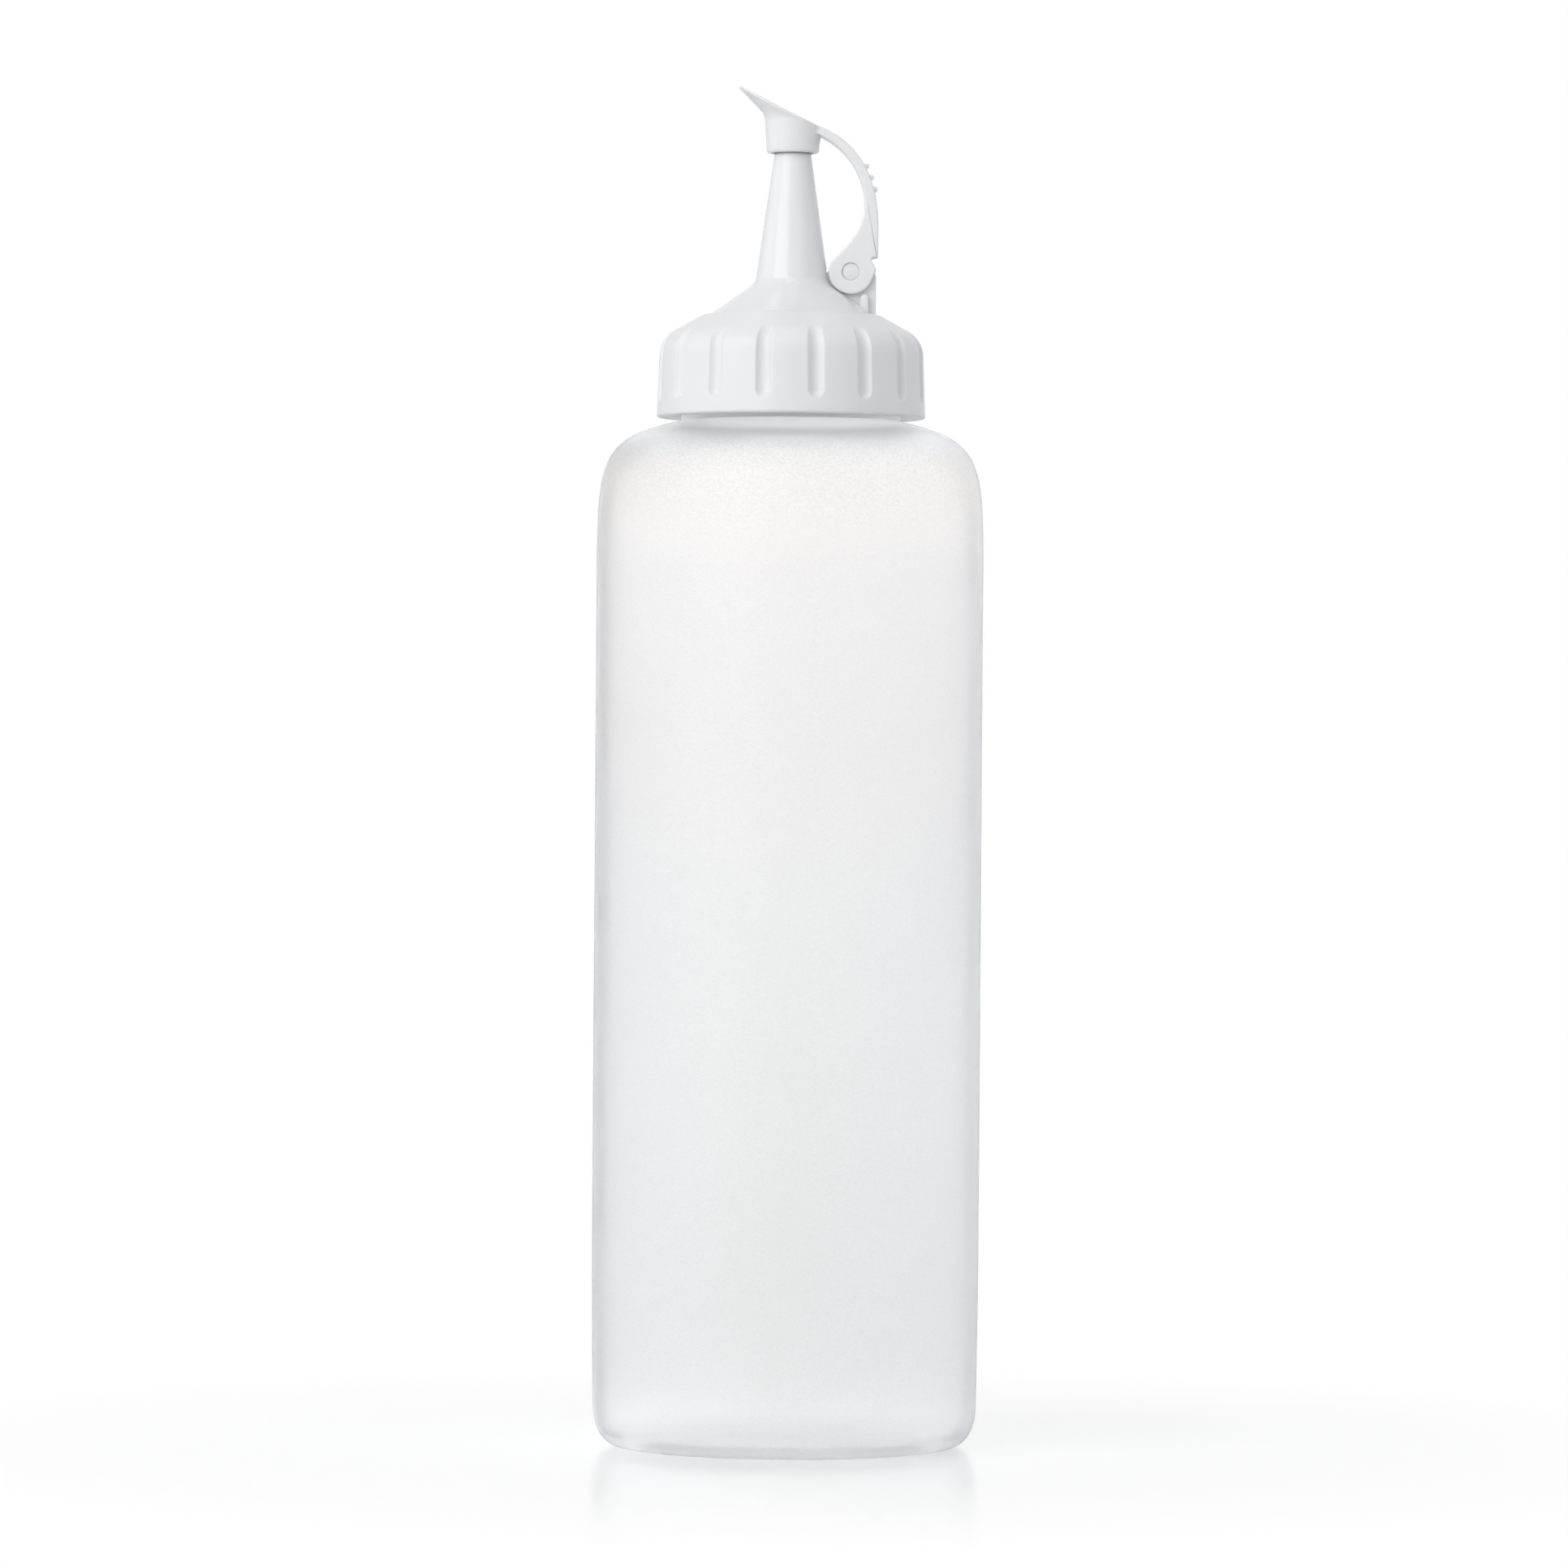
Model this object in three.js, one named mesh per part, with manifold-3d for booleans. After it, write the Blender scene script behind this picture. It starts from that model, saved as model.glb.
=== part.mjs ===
import * as THREE from 'three';
import { mergeVertices } from 'three/addons/utils/BufferGeometryUtils.js';
import Module from 'manifold-3d';

// A squeeze bottle for sauce, in millimetres, +Z up, standing on z = 0 with its axis on Z.
// A screw collar traps a pouring nozzle on the neck, and a lever cap hinged on the nozzle's
// post closes the spout. The lever opens towards +X.

const wasm = await Module();
wasm.setup();

// Body, blow moulded in one piece with its neck
const bodyRadius = 31.65;
const bodyWall = 1.1;
const bodyHeight = 167.7;
const shoulderDepth = 25.7;
const shoulderOutShare = 0.98;
const shoulderDipShare = 0.117;
const shoulderRiseShare = 0.76;
const heelDraft = 0.25;
const heelDraftHeight = 42;

// Base, with a round corner, a ring to stand on and a push-up inside it
const baseCornerReach = 5.4;
const baseCornerHeight = 8;
const baseCornerPower = 2.55;
const standRingWidth = 2.4;
const pushUpDepth = 2.2;
const pushUpSlopeWidth = 3.6;
const pushUpShoulderShare = 0.8;

// Neck and its outside thread, a right-hand one
const neckRadius = 17.3;
const neckWall = 1.7;
const neckHeight = 11;
const neckBeadProud = 0.8;
const neckBeadRise = 0.9;
const neckBeadSink = 0.13;
const neckBeadChamfer = 0.3;
const lipChamfer = 0.4;
const threadPitch = 4.233;
const threadDepth = 1.35;
const threadRootWidth = 2.6;
const threadCrestWidth = 1.3;
const threadTurns = 1.4;
const threadBelowLip = 2;
const threadFadeTurns = 0.12;
const threadSink = 0.4;

// Running and seating clearances
const threadClearance = 0.3;
const flankClearance = 0.35;
const plugClearance = 0.3;
const turnClearance = 0.2;
const openingClearance = 0.3;
const hingeClearance = 0.12;
const forkClearance = 0.25;
const earClearance = 0.35;
const sealClearance = 0.3;
const collarFootGap = 0.45;

// Sealing ring between the neck's lip and the nozzle's flange
const gasketThickness = 1;
const gasketInset = 0.2;

// Nozzle: plug, flange, boss, dome, spout and nose
const plugWall = 1.2;
const plugDepth = 3.2;
const plugChamfer = 0.4;
const flangeThickness = 1.5;
const flangeInset = 0.1;
const bossRadius = 13.8;
const bossWall = 1.5;
const bossHeight = 3.55;
const domeSlopeDeg = 35.1;
const domeWall = 1.4;
const spoutTaperDeg = 8.1;
const spoutHeight = 26.6;
const spoutWall = 1.25;
const spoutFillet = 2.5;
const noseFootRadius = 3.01;
const noseTipRadius = 1.35;
const noseHeight = 1.15;
const orificeRadius = 0.9;
const orificeDepth = 2.2;

// Hinge on the nozzle: pivot, post, trunnion pin and the two stop pegs
const pivotReach = 9.61;
const pivotRise = 7.32;
const pinRadius = 1.38;
const pinRecess = 0.35;
const postHeadRadius = 2.7;
const postHeadMeetDeg = 135;
const postTopRise = 0.35;
const postCornerRadius = 1.2;
const postGussetReach = 4.2;
const pegReach = 2.24;
const pegTopDrop = 3.7;
const pegTopRadius = 0.6;
const pegFootHalfWidth = 0.72;
const pegSideInset = 0.1;

// Lever of the flip cap: fork, ears and arm
const leverHalfWidth = 2.6;
const earThickness = 1.15;
const earRadius = 3.65;
const forkDepth = 4.6;
const armReach = 4.47;
const armThickness = 2.3;
const armWaistRise = 6.93;
const armNarrowRise = 10.93;
const armRootReach = 4.6;
const armRootThickness = 1.45;
const armRootOverlap = 0.6;
const armTailShare = 0.5;
const outerHandleShares = [0.583, 0.567];
const innerHandleShares = [0.604, 0.437];
const flankHandleShares = [0.436, 0.44];
const earFlankDeg = 46.5;
const earMeetDeg = 157;
const hookReach = 4.39;
const hookRise = 2.5;
const notchReach = 3.27;
const notchRise = 2.38;
const bumpReach = 3.96;
const bumpRise = 0.56;
const bumpFadeDeg = -22;

// Grip ribs across the arm's back
const ribCount = 3;
const ribRadius = 0.45;
const ribProud = 0.6;
const ribPitch = 2;
const ribInset = 0.15;
const ribStartShare = 0.435;

// Hood over the spout's nose, with its thumb lip
const hoodRimRise = 0.15;
const hoodRimRadius = 4.28;
const hoodTopRadius = 4.58;
const hoodRimChamfer = 0.25;
const hoodWall = 0.83;
const hoodCavityDepth = 3.4;
const sealBossRadius = 2;
const thumbReach = 8.96;
const thumbHeelReach = 4.72;
const thumbHalfWidth = 5.1;
const thumbTipRise = 11.15;
const thumbHeelRise = 4.15;
const thumbDish = 0.4;
const thumbRimThickness = 0.42;
const thumbRimBevel = 0.4;
const thumbLeastFlare = 0.25;
const flareSlopeDeg = 45.5;
const flareFillet = 1.3;
const flareTurnShare = 0.25;
const flareLiftShare = 0.125;

// Collar: bore, skirt, cone, rounding and grip grooves
const collarWall = 3;
const collarDraft = 0.35;
const collarRimHeight = 3.8;
const collarConeDeg = 29.5;
const collarRounding = 4.6;
const collarFootChamfer = 0.4;
const collarLeadIn = 0.7;
const collarThreadTurns = 1.6;
const collarThreadLead = 0.6;
const grooveCount = 16;
const grooveWidth = 2.6;
const grooveDepth = 0.9;
const grooveFootRise = 2.45;
const grooveTurnDeg = -0.7;
const grooveFadeShares = [0, 0.05, 0.2, 0.45, 0.85];
const grooveEndShares = [0.5, 0.95];

// One overrun for every cut, and the distance at which points are one
const overrun = 1;
const weld = 1e-4;

// Steps round a turn and along a curve
const bodySegments = 48;
const collarSegments = 64;
const nozzleSegments = 48;
const hoodSegments = 40;
const pinSegments = 28;
const threadStepsPerTurn = 24;
const shoulderSteps = 9;
const cornerSteps = 5;
const filletSteps = 4;
const roundingSteps = 5;
const grooveSides = 8;
const armSteps = 12;
const earSteps = 20;

const { degToRad } = THREE.MathUtils;
const fullTurn = 2 * Math.PI;
const point = (x, z) => new THREE.Vector2(x, z);

// Heights of the closure, measured from the neck's lip
const flangeBottom = gasketThickness;
const flangeTop = flangeBottom + flangeThickness;
const ceilingZ = flangeTop + turnClearance;
const domeFoot = flangeTop + bossHeight;
const pivotZ = domeFoot + pivotRise;
const noseFoot = domeFoot + spoutHeight;
const noseTop = noseFoot + noseHeight;
const collarFoot = collarFootGap - neckHeight;
const collarRim = ceilingZ + collarRimHeight;

// Radii that one piece takes from another
const plugRadius = neckRadius - neckWall - plugClearance;
const flangeRadius = neckRadius - flangeInset;
const threadCrest = neckRadius + threadDepth;
const collarBore = threadCrest + threadClearance;
const collarThreadCrest = neckRadius + threadClearance;
const openingRadius = bossRadius + openingClearance;
const pinHoleRadius = pinRadius + hingeClearance;
const postHalfWidth = leverHalfWidth - earThickness - forkClearance;

// Closed solid from a geometry whose faces point out
function solid(geometry) {
  const bare = new THREE.BufferGeometry();
  bare.setAttribute('position', geometry.getAttribute('position').clone());
  bare.setIndex(geometry.getIndex());
  const merged = mergeVertices(bare, weld);
  const corners = merged.getIndex().array;
  const kept = [];
  for (let i = 0; i < corners.length; i += 3) {
    const [a, b, c] = [corners[i], corners[i + 1], corners[i + 2]];
    if (a !== b && b !== c && c !== a) {
      kept.push(a, b, c);
    }
  }
  return new wasm.Manifold(new wasm.Mesh({
    numProp: 3,
    vertProperties: new Float32Array(merged.getAttribute('position').array),
    triVerts: new Uint32Array(kept),
  }));
}

function geometryOf(manifold) {
  const mesh = manifold.getMesh();
  const geometry = new THREE.BufferGeometry();
  geometry.setAttribute('position', new THREE.BufferAttribute(mesh.vertProperties, 3));
  geometry.setIndex(new THREE.BufferAttribute(mesh.triVerts, 1));
  geometry.computeVertexNormals();
  return geometry;
}

// Solid turned about Z from an outline in radius and height
function turned(outline, segments) {
  const geometry = new THREE.LatheGeometry(outline, segments);
  geometry.rotateX(Math.PI / 2);
  return solid(geometry);
}

// Solid of an outline in x and z, with the same half width on each side of y = 0
function slab(outline, halfWidth) {
  const geometry = new THREE.ExtrudeGeometry(new THREE.Shape(outline), {
    depth: 2 * halfWidth,
    bevelEnabled: false,
  });
  geometry.rotateX(Math.PI / 2);
  geometry.translate(0, halfWidth, 0);
  return solid(geometry);
}

// Round bar along y
function crossBar(x, z, radius, halfWidth) {
  const geometry = new THREE.CylinderGeometry(radius, radius, 2 * halfWidth, pinSegments);
  geometry.translate(x, 0, z);
  return solid(geometry);
}

// Skin through rings of equal count, closed by a fan at each end
function lofted(rings) {
  const sides = rings[0].length;
  const corners = rings.flat();
  const faces = [];
  for (let ring = 0; ring + 1 < rings.length; ring += 1) {
    for (let side = 0; side < sides; side += 1) {
      const a = ring * sides + side;
      const b = ring * sides + (side + 1) % sides;
      faces.push(a, b, b + sides, a, b + sides, a + sides);
    }
  }
  const middle = (ring) => {
    const sum = ring.reduce((total, corner) => total.add(corner), new THREE.Vector3());
    return sum.divideScalar(sides);
  };
  const first = corners.push(middle(rings[0])) - 1;
  const last = corners.push(middle(rings.at(-1))) - 1;
  const top = (rings.length - 1) * sides;
  for (let side = 0; side < sides; side += 1) {
    const next = (side + 1) % sides;
    faces.push(first, next, side, last, top + side, top + next);
  }
  const geometry = new THREE.BufferGeometry().setFromPoints(corners);
  geometry.setIndex(faces);
  return solid(geometry);
}

// Points of the arc that rounds a corner, from the side of one neighbour to the other's
function fillet(before, corner, after, radius, steps) {
  const inward = before.clone().sub(corner).normalize();
  const outward = after.clone().sub(corner).normalize();
  const half = Math.acos(THREE.MathUtils.clamp(inward.dot(outward), -1, 1)) / 2;
  const centre = inward.clone().add(outward).normalize().multiplyScalar(radius / Math.sin(half)).add(corner);
  const start = inward.multiplyScalar(radius / Math.tan(half)).add(corner).sub(centre);
  const end = outward.multiplyScalar(radius / Math.tan(half)).add(corner).sub(centre);
  const sweep = Math.atan2(start.cross(end), start.dot(end));
  const origin = new THREE.Vector2();
  return Array.from({ length: steps + 1 }, (unused, i) => (
    start.clone().rotateAround(origin, sweep * i / steps).add(centre)
  ));
}

// Points of an arc, both ends included
function arc(x, z, radius, fromDeg, toDeg, steps) {
  return Array.from({ length: steps + 1 }, (unused, i) => {
    const angle = degToRad(THREE.MathUtils.lerp(fromDeg, toDeg, i / steps));
    return point(x + radius * Math.cos(angle), z + radius * Math.sin(angle));
  });
}

// Points moved by a distance to the right of the way along them
function offset(points, distance) {
  return points.map((here, i) => {
    const before = points[Math.max(i - 1, 0)];
    const after = points[Math.min(i + 1, points.length - 1)];
    const along = after.clone().sub(before).normalize();
    return point(here.x + distance * along.y, here.y - distance * along.x);
  });
}

// Helical ridge on a wall at the root radius. It sinks into the wall by threadSink, and its
// crest comes out of the wall and goes back into it over the fade at each end.
function threadRidge(root, crest, rootWidth, crestWidth, turns, startAngle, startZ) {
  const outward = Math.sign(crest - root);
  const buried = root - outward * threadSink;
  const steps = Math.round(turns * threadStepsPerTurn);
  const rings = Array.from({ length: steps + 1 }, (unused, i) => {
    const turn = turns * i / steps;
    const rise = Math.min(1, turn / threadFadeTurns, (turns - turn) / threadFadeTurns);
    const tip = THREE.MathUtils.lerp(root - outward * threadSink / 2, crest, rise);
    const angle = startAngle + fullTurn * turn;
    const z = startZ + threadPitch * turn;
    const section = [
      [buried, z - rootWidth / 2],
      [tip, z - crestWidth / 2],
      [tip, z + crestWidth / 2],
      [buried, z + rootWidth / 2],
    ];
    if (outward < 0) {
      section.reverse();
    }
    return section.map(([r, height]) => (
      new THREE.Vector3(r * Math.cos(angle), r * Math.sin(angle), height)
    )).reverse();
  });
  return lofted(rings);
}

// Width of the neck's ridge at a radius
function neckRidgeWidth(radius) {
  const share = (radius - neckRadius) / threadDepth;
  return THREE.MathUtils.lerp(threadRootWidth, threadCrestWidth, share);
}

const neckThreadStart = neckHeight - threadBelowLip - threadTurns * threadPitch;

function bottleBody() {
  const shoulderFoot = point(bodyRadius, bodyHeight - shoulderDepth);
  const bead = neckRadius + neckBeadProud;
  const beadTop = bodyHeight + neckBeadRise;
  const neckFoot = point(bead, bodyHeight - neckBeadSink);
  const shoulder = new THREE.CubicBezierCurve(
    shoulderFoot,
    point(bodyRadius, shoulderFoot.y + shoulderRiseShare * shoulderDepth),
    point(
      neckFoot.x + shoulderOutShare * (bodyRadius - neckFoot.x),
      bodyHeight - shoulderDipShare * shoulderDepth,
    ),
    neckFoot,
  ).getPoints(shoulderSteps);
  const ringOuter = bodyRadius - heelDraft - baseCornerReach;
  const corner = Array.from({ length: cornerSteps + 1 }, (unused, i) => {
    const angle = (i / cornerSteps - 1) * Math.PI / 2;
    const reach = Math.cos(angle) ** (2 / baseCornerPower);
    const drop = (-Math.sin(angle)) ** (2 / baseCornerPower);
    return point(ringOuter + baseCornerReach * reach, baseCornerHeight * (1 - drop));
  });
  corner[0].x = ringOuter;
  const ringInner = ringOuter - standRingWidth;
  const recess = [
    point(0, pushUpDepth),
    point(ringInner - pushUpSlopeWidth, pushUpDepth),
    point(ringInner - pushUpSlopeWidth / 2, pushUpDepth * pushUpShoulderShare),
    point(ringInner, 0),
  ];
  const outside = [...corner, point(bodyRadius, heelDraftHeight), ...shoulder];
  const inside = offset(outside, -bodyWall).filter((here) => here.x < bodyRadius - bodyWall / 2);
  const floor = point(ringInner - pushUpSlopeWidth, pushUpDepth + bodyWall);
  const lip = bodyHeight + neckHeight;
  const mouth = neckRadius - neckWall;
  const cavity = inside.filter((here) => here.x > mouth && here.y > bodyWall / 2).reverse();
  const outline = [
    ...recess,
    ...outside,
    point(bead, beadTop - neckBeadChamfer),
    point(bead - neckBeadChamfer, beadTop),
    point(neckRadius, beadTop),
    point(neckRadius, lip - lipChamfer),
    point(neckRadius - lipChamfer, lip),
    point(mouth + lipChamfer, lip),
    point(mouth, lip - lipChamfer),
    point(mouth, cavity[0].y),
    ...cavity,
    floor,
    point(0, floor.y),
  ];
  const thread = threadRidge(
    neckRadius, threadCrest, threadRootWidth, threadCrestWidth, threadTurns, 0,
    bodyHeight + neckThreadStart,
  );
  return turned(outline, bodySegments).add(thread);
}

function neckGasket() {
  const inner = plugRadius + plugClearance;
  const outer = neckRadius - gasketInset;
  return turned([
    point(inner, 0),
    point(outer, 0),
    point(outer, gasketThickness),
    point(inner, gasketThickness),
    point(inner, 0),
  ], nozzleSegments);
}

// Outline from the boss's edge up the dome and the spout, drawn in by two walls
function domeAndSpout(domeInset, spoutInset) {
  const slope = Math.tan(degToRad(domeSlopeDeg));
  const taper = Math.tan(degToRad(spoutTaperDeg));
  const domeDrop = domeInset / Math.cos(degToRad(domeSlopeDeg));
  const spoutIn = spoutInset / Math.cos(degToRad(spoutTaperDeg));
  const domeZ = (r) => domeFoot - domeDrop + (bossRadius - r) * slope;
  const spoutR = (z) => noseFootRadius - spoutIn + (noseFoot - z) * taper;
  const cornerR = (spoutR(domeZ(0))) / (1 - slope * taper);
  const corner = point(cornerR, domeZ(cornerR));
  const foot = point(bossRadius - domeInset, domeZ(bossRadius - domeInset));
  const top = point(spoutR(noseFoot), noseFoot);
  const round = spoutFillet + (domeInset + spoutInset) / 2;
  return { foot, top, spoutR, arc: fillet(foot, corner, top, round, filletSteps) };
}

function nozzleOutside() {
  const { foot, top, arc: round } = domeAndSpout(0, 0);
  const plugBottom = flangeBottom - plugDepth;
  return turned([
    point(0, plugBottom),
    point(plugRadius - plugChamfer, plugBottom),
    point(plugRadius, plugBottom + plugChamfer),
    point(plugRadius, flangeBottom),
    point(flangeRadius, flangeBottom),
    point(flangeRadius, flangeTop),
    point(bossRadius, flangeTop),
    foot,
    ...round,
    top,
    point(noseTipRadius, noseTop),
    point(0, noseTop),
  ], nozzleSegments);
}

function nozzleInside() {
  const { spoutR, arc: round } = domeAndSpout(domeWall, spoutWall);
  const bossInner = bossRadius - bossWall;
  const plugInner = plugRadius - plugWall;
  const plugBottom = flangeBottom - plugDepth;
  const slope = Math.tan(degToRad(domeSlopeDeg));
  const domeDrop = domeWall / Math.cos(degToRad(domeSlopeDeg));
  const orificeFoot = noseTop - orificeDepth;
  return turned([
    point(0, plugBottom - overrun),
    point(plugInner, plugBottom - overrun),
    point(plugInner, flangeBottom),
    point(bossInner, flangeBottom),
    point(bossInner, domeFoot - domeDrop + bossWall * slope),
    ...round,
    point(spoutR(orificeFoot - spoutWall), orificeFoot - spoutWall),
    point(orificeRadius, orificeFoot),
    point(orificeRadius, noseTop + overrun),
    point(0, noseTop + overrun),
  ], nozzleSegments);
}

// Post between the ears, with a round head and a gusset to the spout
function hingePost() {
  const x = pivotReach;
  const headEnd = THREE.MathUtils.radToDeg(Math.asin(postTopRise / postHeadRadius));
  const head = arc(x, pivotZ, postHeadRadius, postHeadMeetDeg, headEnd, filletSteps * 2);
  const gussetFall = postGussetReach - postHeadRadius * Math.SQRT2;
  const topRight = point(bossRadius, pivotZ + postTopRise);
  const foot = point(bossRadius, flangeTop + bossHeight / 2);
  const outline = [
    point(x - postGussetReach, foot.y),
    foot,
    ...fillet(foot, topRight, head.at(-1), postCornerRadius, filletSteps),
    ...head.reverse(),
    point(x - postGussetReach, pivotZ - gussetFall),
  ];
  const post = slab(outline, postHalfWidth);
  const column = turned([
    point(0, flangeTop),
    point(bossRadius, flangeTop),
    point(bossRadius, pivotZ + postHeadRadius + overrun),
    point(0, pivotZ + postHeadRadius + overrun),
  ], nozzleSegments);
  return post.intersect(column);
}

// Stop pegs under the ears, joined across the post
function stopPegs() {
  const x = pivotReach + pegReach;
  const z = pivotZ - pegTopDrop - pegTopRadius;
  const outline = [
    point(x - pegFootHalfWidth, domeFoot),
    point(x + pegFootHalfWidth, domeFoot),
    ...arc(x, z, pegTopRadius, 0, 180, filletSteps * 2),
  ];
  return slab(outline, leverHalfWidth - pegSideInset);
}

function nozzleSpout() {
  const relief = crossBar(pivotReach, pivotZ, earRadius + earClearance, leverHalfWidth + earClearance);
  const pin = crossBar(pivotReach, pivotZ, pinRadius, leverHalfWidth - pinRecess);
  return nozzleOutside()
    .subtract(relief)
    .add(hingePost())
    .add(stopPegs())
    .add(pin)
    .subtract(nozzleInside());
}

// Height of the thumb lip's top over the hood's rim, at a distance from the spout's axis
function thumbTop(x) {
  const length = thumbReach + thumbHeelReach;
  const share = (x + thumbReach) / length;
  const chord = THREE.MathUtils.lerp(thumbTipRise, thumbHeelRise, share);
  return chord - 4 * thumbDish * share * (1 - share);
}

function thumbSlope(x) {
  const length = thumbReach + thumbHeelReach;
  const share = (x + thumbReach) / length;
  return (thumbHeelRise - thumbTipRise - 4 * thumbDish * (1 - 2 * share)) / length;
}

// The flip cap is drawn from its pivot, so the spout's axis lies at x = -pivotReach
const hoodX = -pivotReach;
const hoodRimZ = noseFoot + hoodRimRise - pivotZ;

function armBack() {
  const start = point(hoodX + armRootReach, hoodRimZ + thumbTop(armRootReach));
  const end = point(armReach, armWaistRise);
  const lead = outerHandleShares[0] * (end.x - start.x);
  return new THREE.CubicBezierCurve(
    start,
    point(start.x + lead, start.y + lead * thumbSlope(armRootReach)),
    point(end.x, end.y + outerHandleShares[1] * (start.y - end.y)),
    end,
  );
}

function armInside() {
  const back = armBack().v0;
  const slope = thumbSlope(armRootReach);
  const start = point(back.x - armRootOverlap, back.y - armRootThickness - armRootOverlap * slope);
  const end = point(armReach - armThickness, armNarrowRise);
  const lead = innerHandleShares[0] * (end.x - start.x);
  return new THREE.CubicBezierCurve(
    start,
    point(start.x + lead, start.y + lead * slope),
    point(end.x, end.y + innerHandleShares[1] * (start.y - end.y)),
    end,
  );
}

function earFlank() {
  const start = point(armReach - armThickness, armNarrowRise);
  const end = point(
    earRadius * Math.cos(degToRad(earMeetDeg)),
    earRadius * Math.sin(degToRad(earMeetDeg)),
  );
  const fall = start.y - end.y;
  const lead = flankHandleShares[1] * fall;
  return new THREE.CubicBezierCurve(
    start,
    point(start.x, start.y - flankHandleShares[0] * fall),
    point(end.x + lead * Math.cos(degToRad(earFlankDeg)), end.y + lead * Math.sin(degToRad(earFlankDeg))),
    end,
  );
}

function leverOutline() {
  const tail = armTailShare * armRootReach;
  const ear = arc(0, 0, earRadius, earMeetDeg - 360, bumpFadeDeg, earSteps);
  return [
    point(hoodX + tail, hoodRimZ + thumbTop(tail) - thumbRimThickness / 2),
    ...armInside().getPoints(armSteps),
    ...earFlank().getPoints(armSteps).slice(1, -1),
    ...ear,
    point(bumpReach, bumpRise),
    point(notchReach, notchRise),
    point(hookReach, hookRise),
    ...armBack().getPoints(armSteps).reverse(),
  ];
}

// Plan of the thumb lip's rim, an oval that stands out from the hood all round
function thumbRim(angle) {
  const centre = (thumbHeelReach - thumbReach) / 2;
  const halfLength = (thumbHeelReach + thumbReach) / 2;
  const rim = point(centre + halfLength * Math.cos(angle), thumbHalfWidth * Math.sin(angle));
  return rim.setLength(Math.max(rim.length(), hoodTopRadius + thumbLeastFlare));
}

function hood() {
  const steepness = Math.tan(degToRad(flareSlopeDeg));
  const columns = Array.from({ length: hoodSegments }, (unused, i) => {
    const angle = fullTurn * i / hoodSegments;
    const rim = thumbRim(angle);
    const way = rim.clone().normalize();
    const overhang = rim.length() - hoodTopRadius;
    const low = hoodRimZ + thumbTop(rim.x) - thumbRimThickness;
    const turn = low - overhang * steepness;
    const round = Math.min(flareFillet, overhang * steepness / 2);
    const mid = THREE.MathUtils.lerp(hoodTopRadius, rim.length(), round / (overhang * steepness + round));
    const top = rim.length() - thumbRimBevel;
    const ring = (r, z) => new THREE.Vector3(hoodX + r * way.x, r * way.y, z);
    return [
      ring(hoodRimRadius - hoodRimChamfer, hoodRimZ),
      ring(hoodRimRadius, hoodRimZ + hoodRimChamfer),
      ring(hoodTopRadius, turn - round),
      ring(
        THREE.MathUtils.lerp(hoodTopRadius, mid, flareTurnShare),
        turn - round * flareLiftShare,
      ),
      ring(mid, turn + (mid - hoodTopRadius) * steepness),
      ring(rim.length(), low),
      ring(top, hoodRimZ + thumbTop(top * way.x)),
    ];
  });
  const levels = columns[0].length;
  const rings = Array.from({ length: levels }, (unused, level) => columns.map((column) => column[level]));
  const outside = lofted(rings);
  const cavityRadius = hoodRimRadius - hoodWall;
  const sealZ = noseTop + sealClearance - pivotZ;
  const cavity = new THREE.LatheGeometry([
    point(0, hoodRimZ - overrun),
    point(cavityRadius, hoodRimZ - overrun),
    point(cavityRadius, hoodRimZ + hoodCavityDepth),
    point(sealBossRadius, hoodRimZ + hoodCavityDepth),
    point(sealBossRadius, sealZ),
    point(0, sealZ),
  ], hoodSegments);
  cavity.rotateX(Math.PI / 2);
  cavity.translate(hoodX, 0, 0);
  return { outside, cavity: solid(cavity) };
}

function gripRibs() {
  const back = armBack();
  const step = ribPitch / back.getLength();
  return Array.from({ length: ribCount }, (unused, i) => {
    const share = ribStartShare + i * step;
    const here = back.getPointAt(share);
    const along = back.getTangentAt(share);
    const lift = ribProud - ribRadius;
    return crossBar(
      here.x - lift * along.y, here.y + lift * along.x, ribRadius, leverHalfWidth - ribInset,
    );
  });
}

function flipCap() {
  const { outside, cavity } = hood();
  const slotHalf = leverHalfWidth - earThickness;
  const slot = new THREE.BoxGeometry(4 * earRadius, 2 * slotHalf, 2 * forkDepth);
  const pinHole = crossBar(0, 0, pinHoleRadius, leverHalfWidth + overrun);
  return gripRibs()
    .reduce((cap, rib) => cap.add(rib), slab(leverOutline(), leverHalfWidth))
    .subtract(solid(slot))
    .subtract(pinHole)
    .add(outside)
    .subtract(cavity);
}

// Side of the collar under its rounding, and the rounding's centre
function collarCrown() {
  const side = collarBore + collarWall - collarDraft;
  const normal = degToRad(90 - collarConeDeg);
  const x = side - collarRounding;
  const meetX = x + collarRounding * Math.cos(normal);
  const meetZ = collarRim - Math.tan(degToRad(collarConeDeg)) * (meetX - openingRadius);
  return { side, x, z: meetZ - collarRounding * Math.sin(normal) };
}

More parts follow.
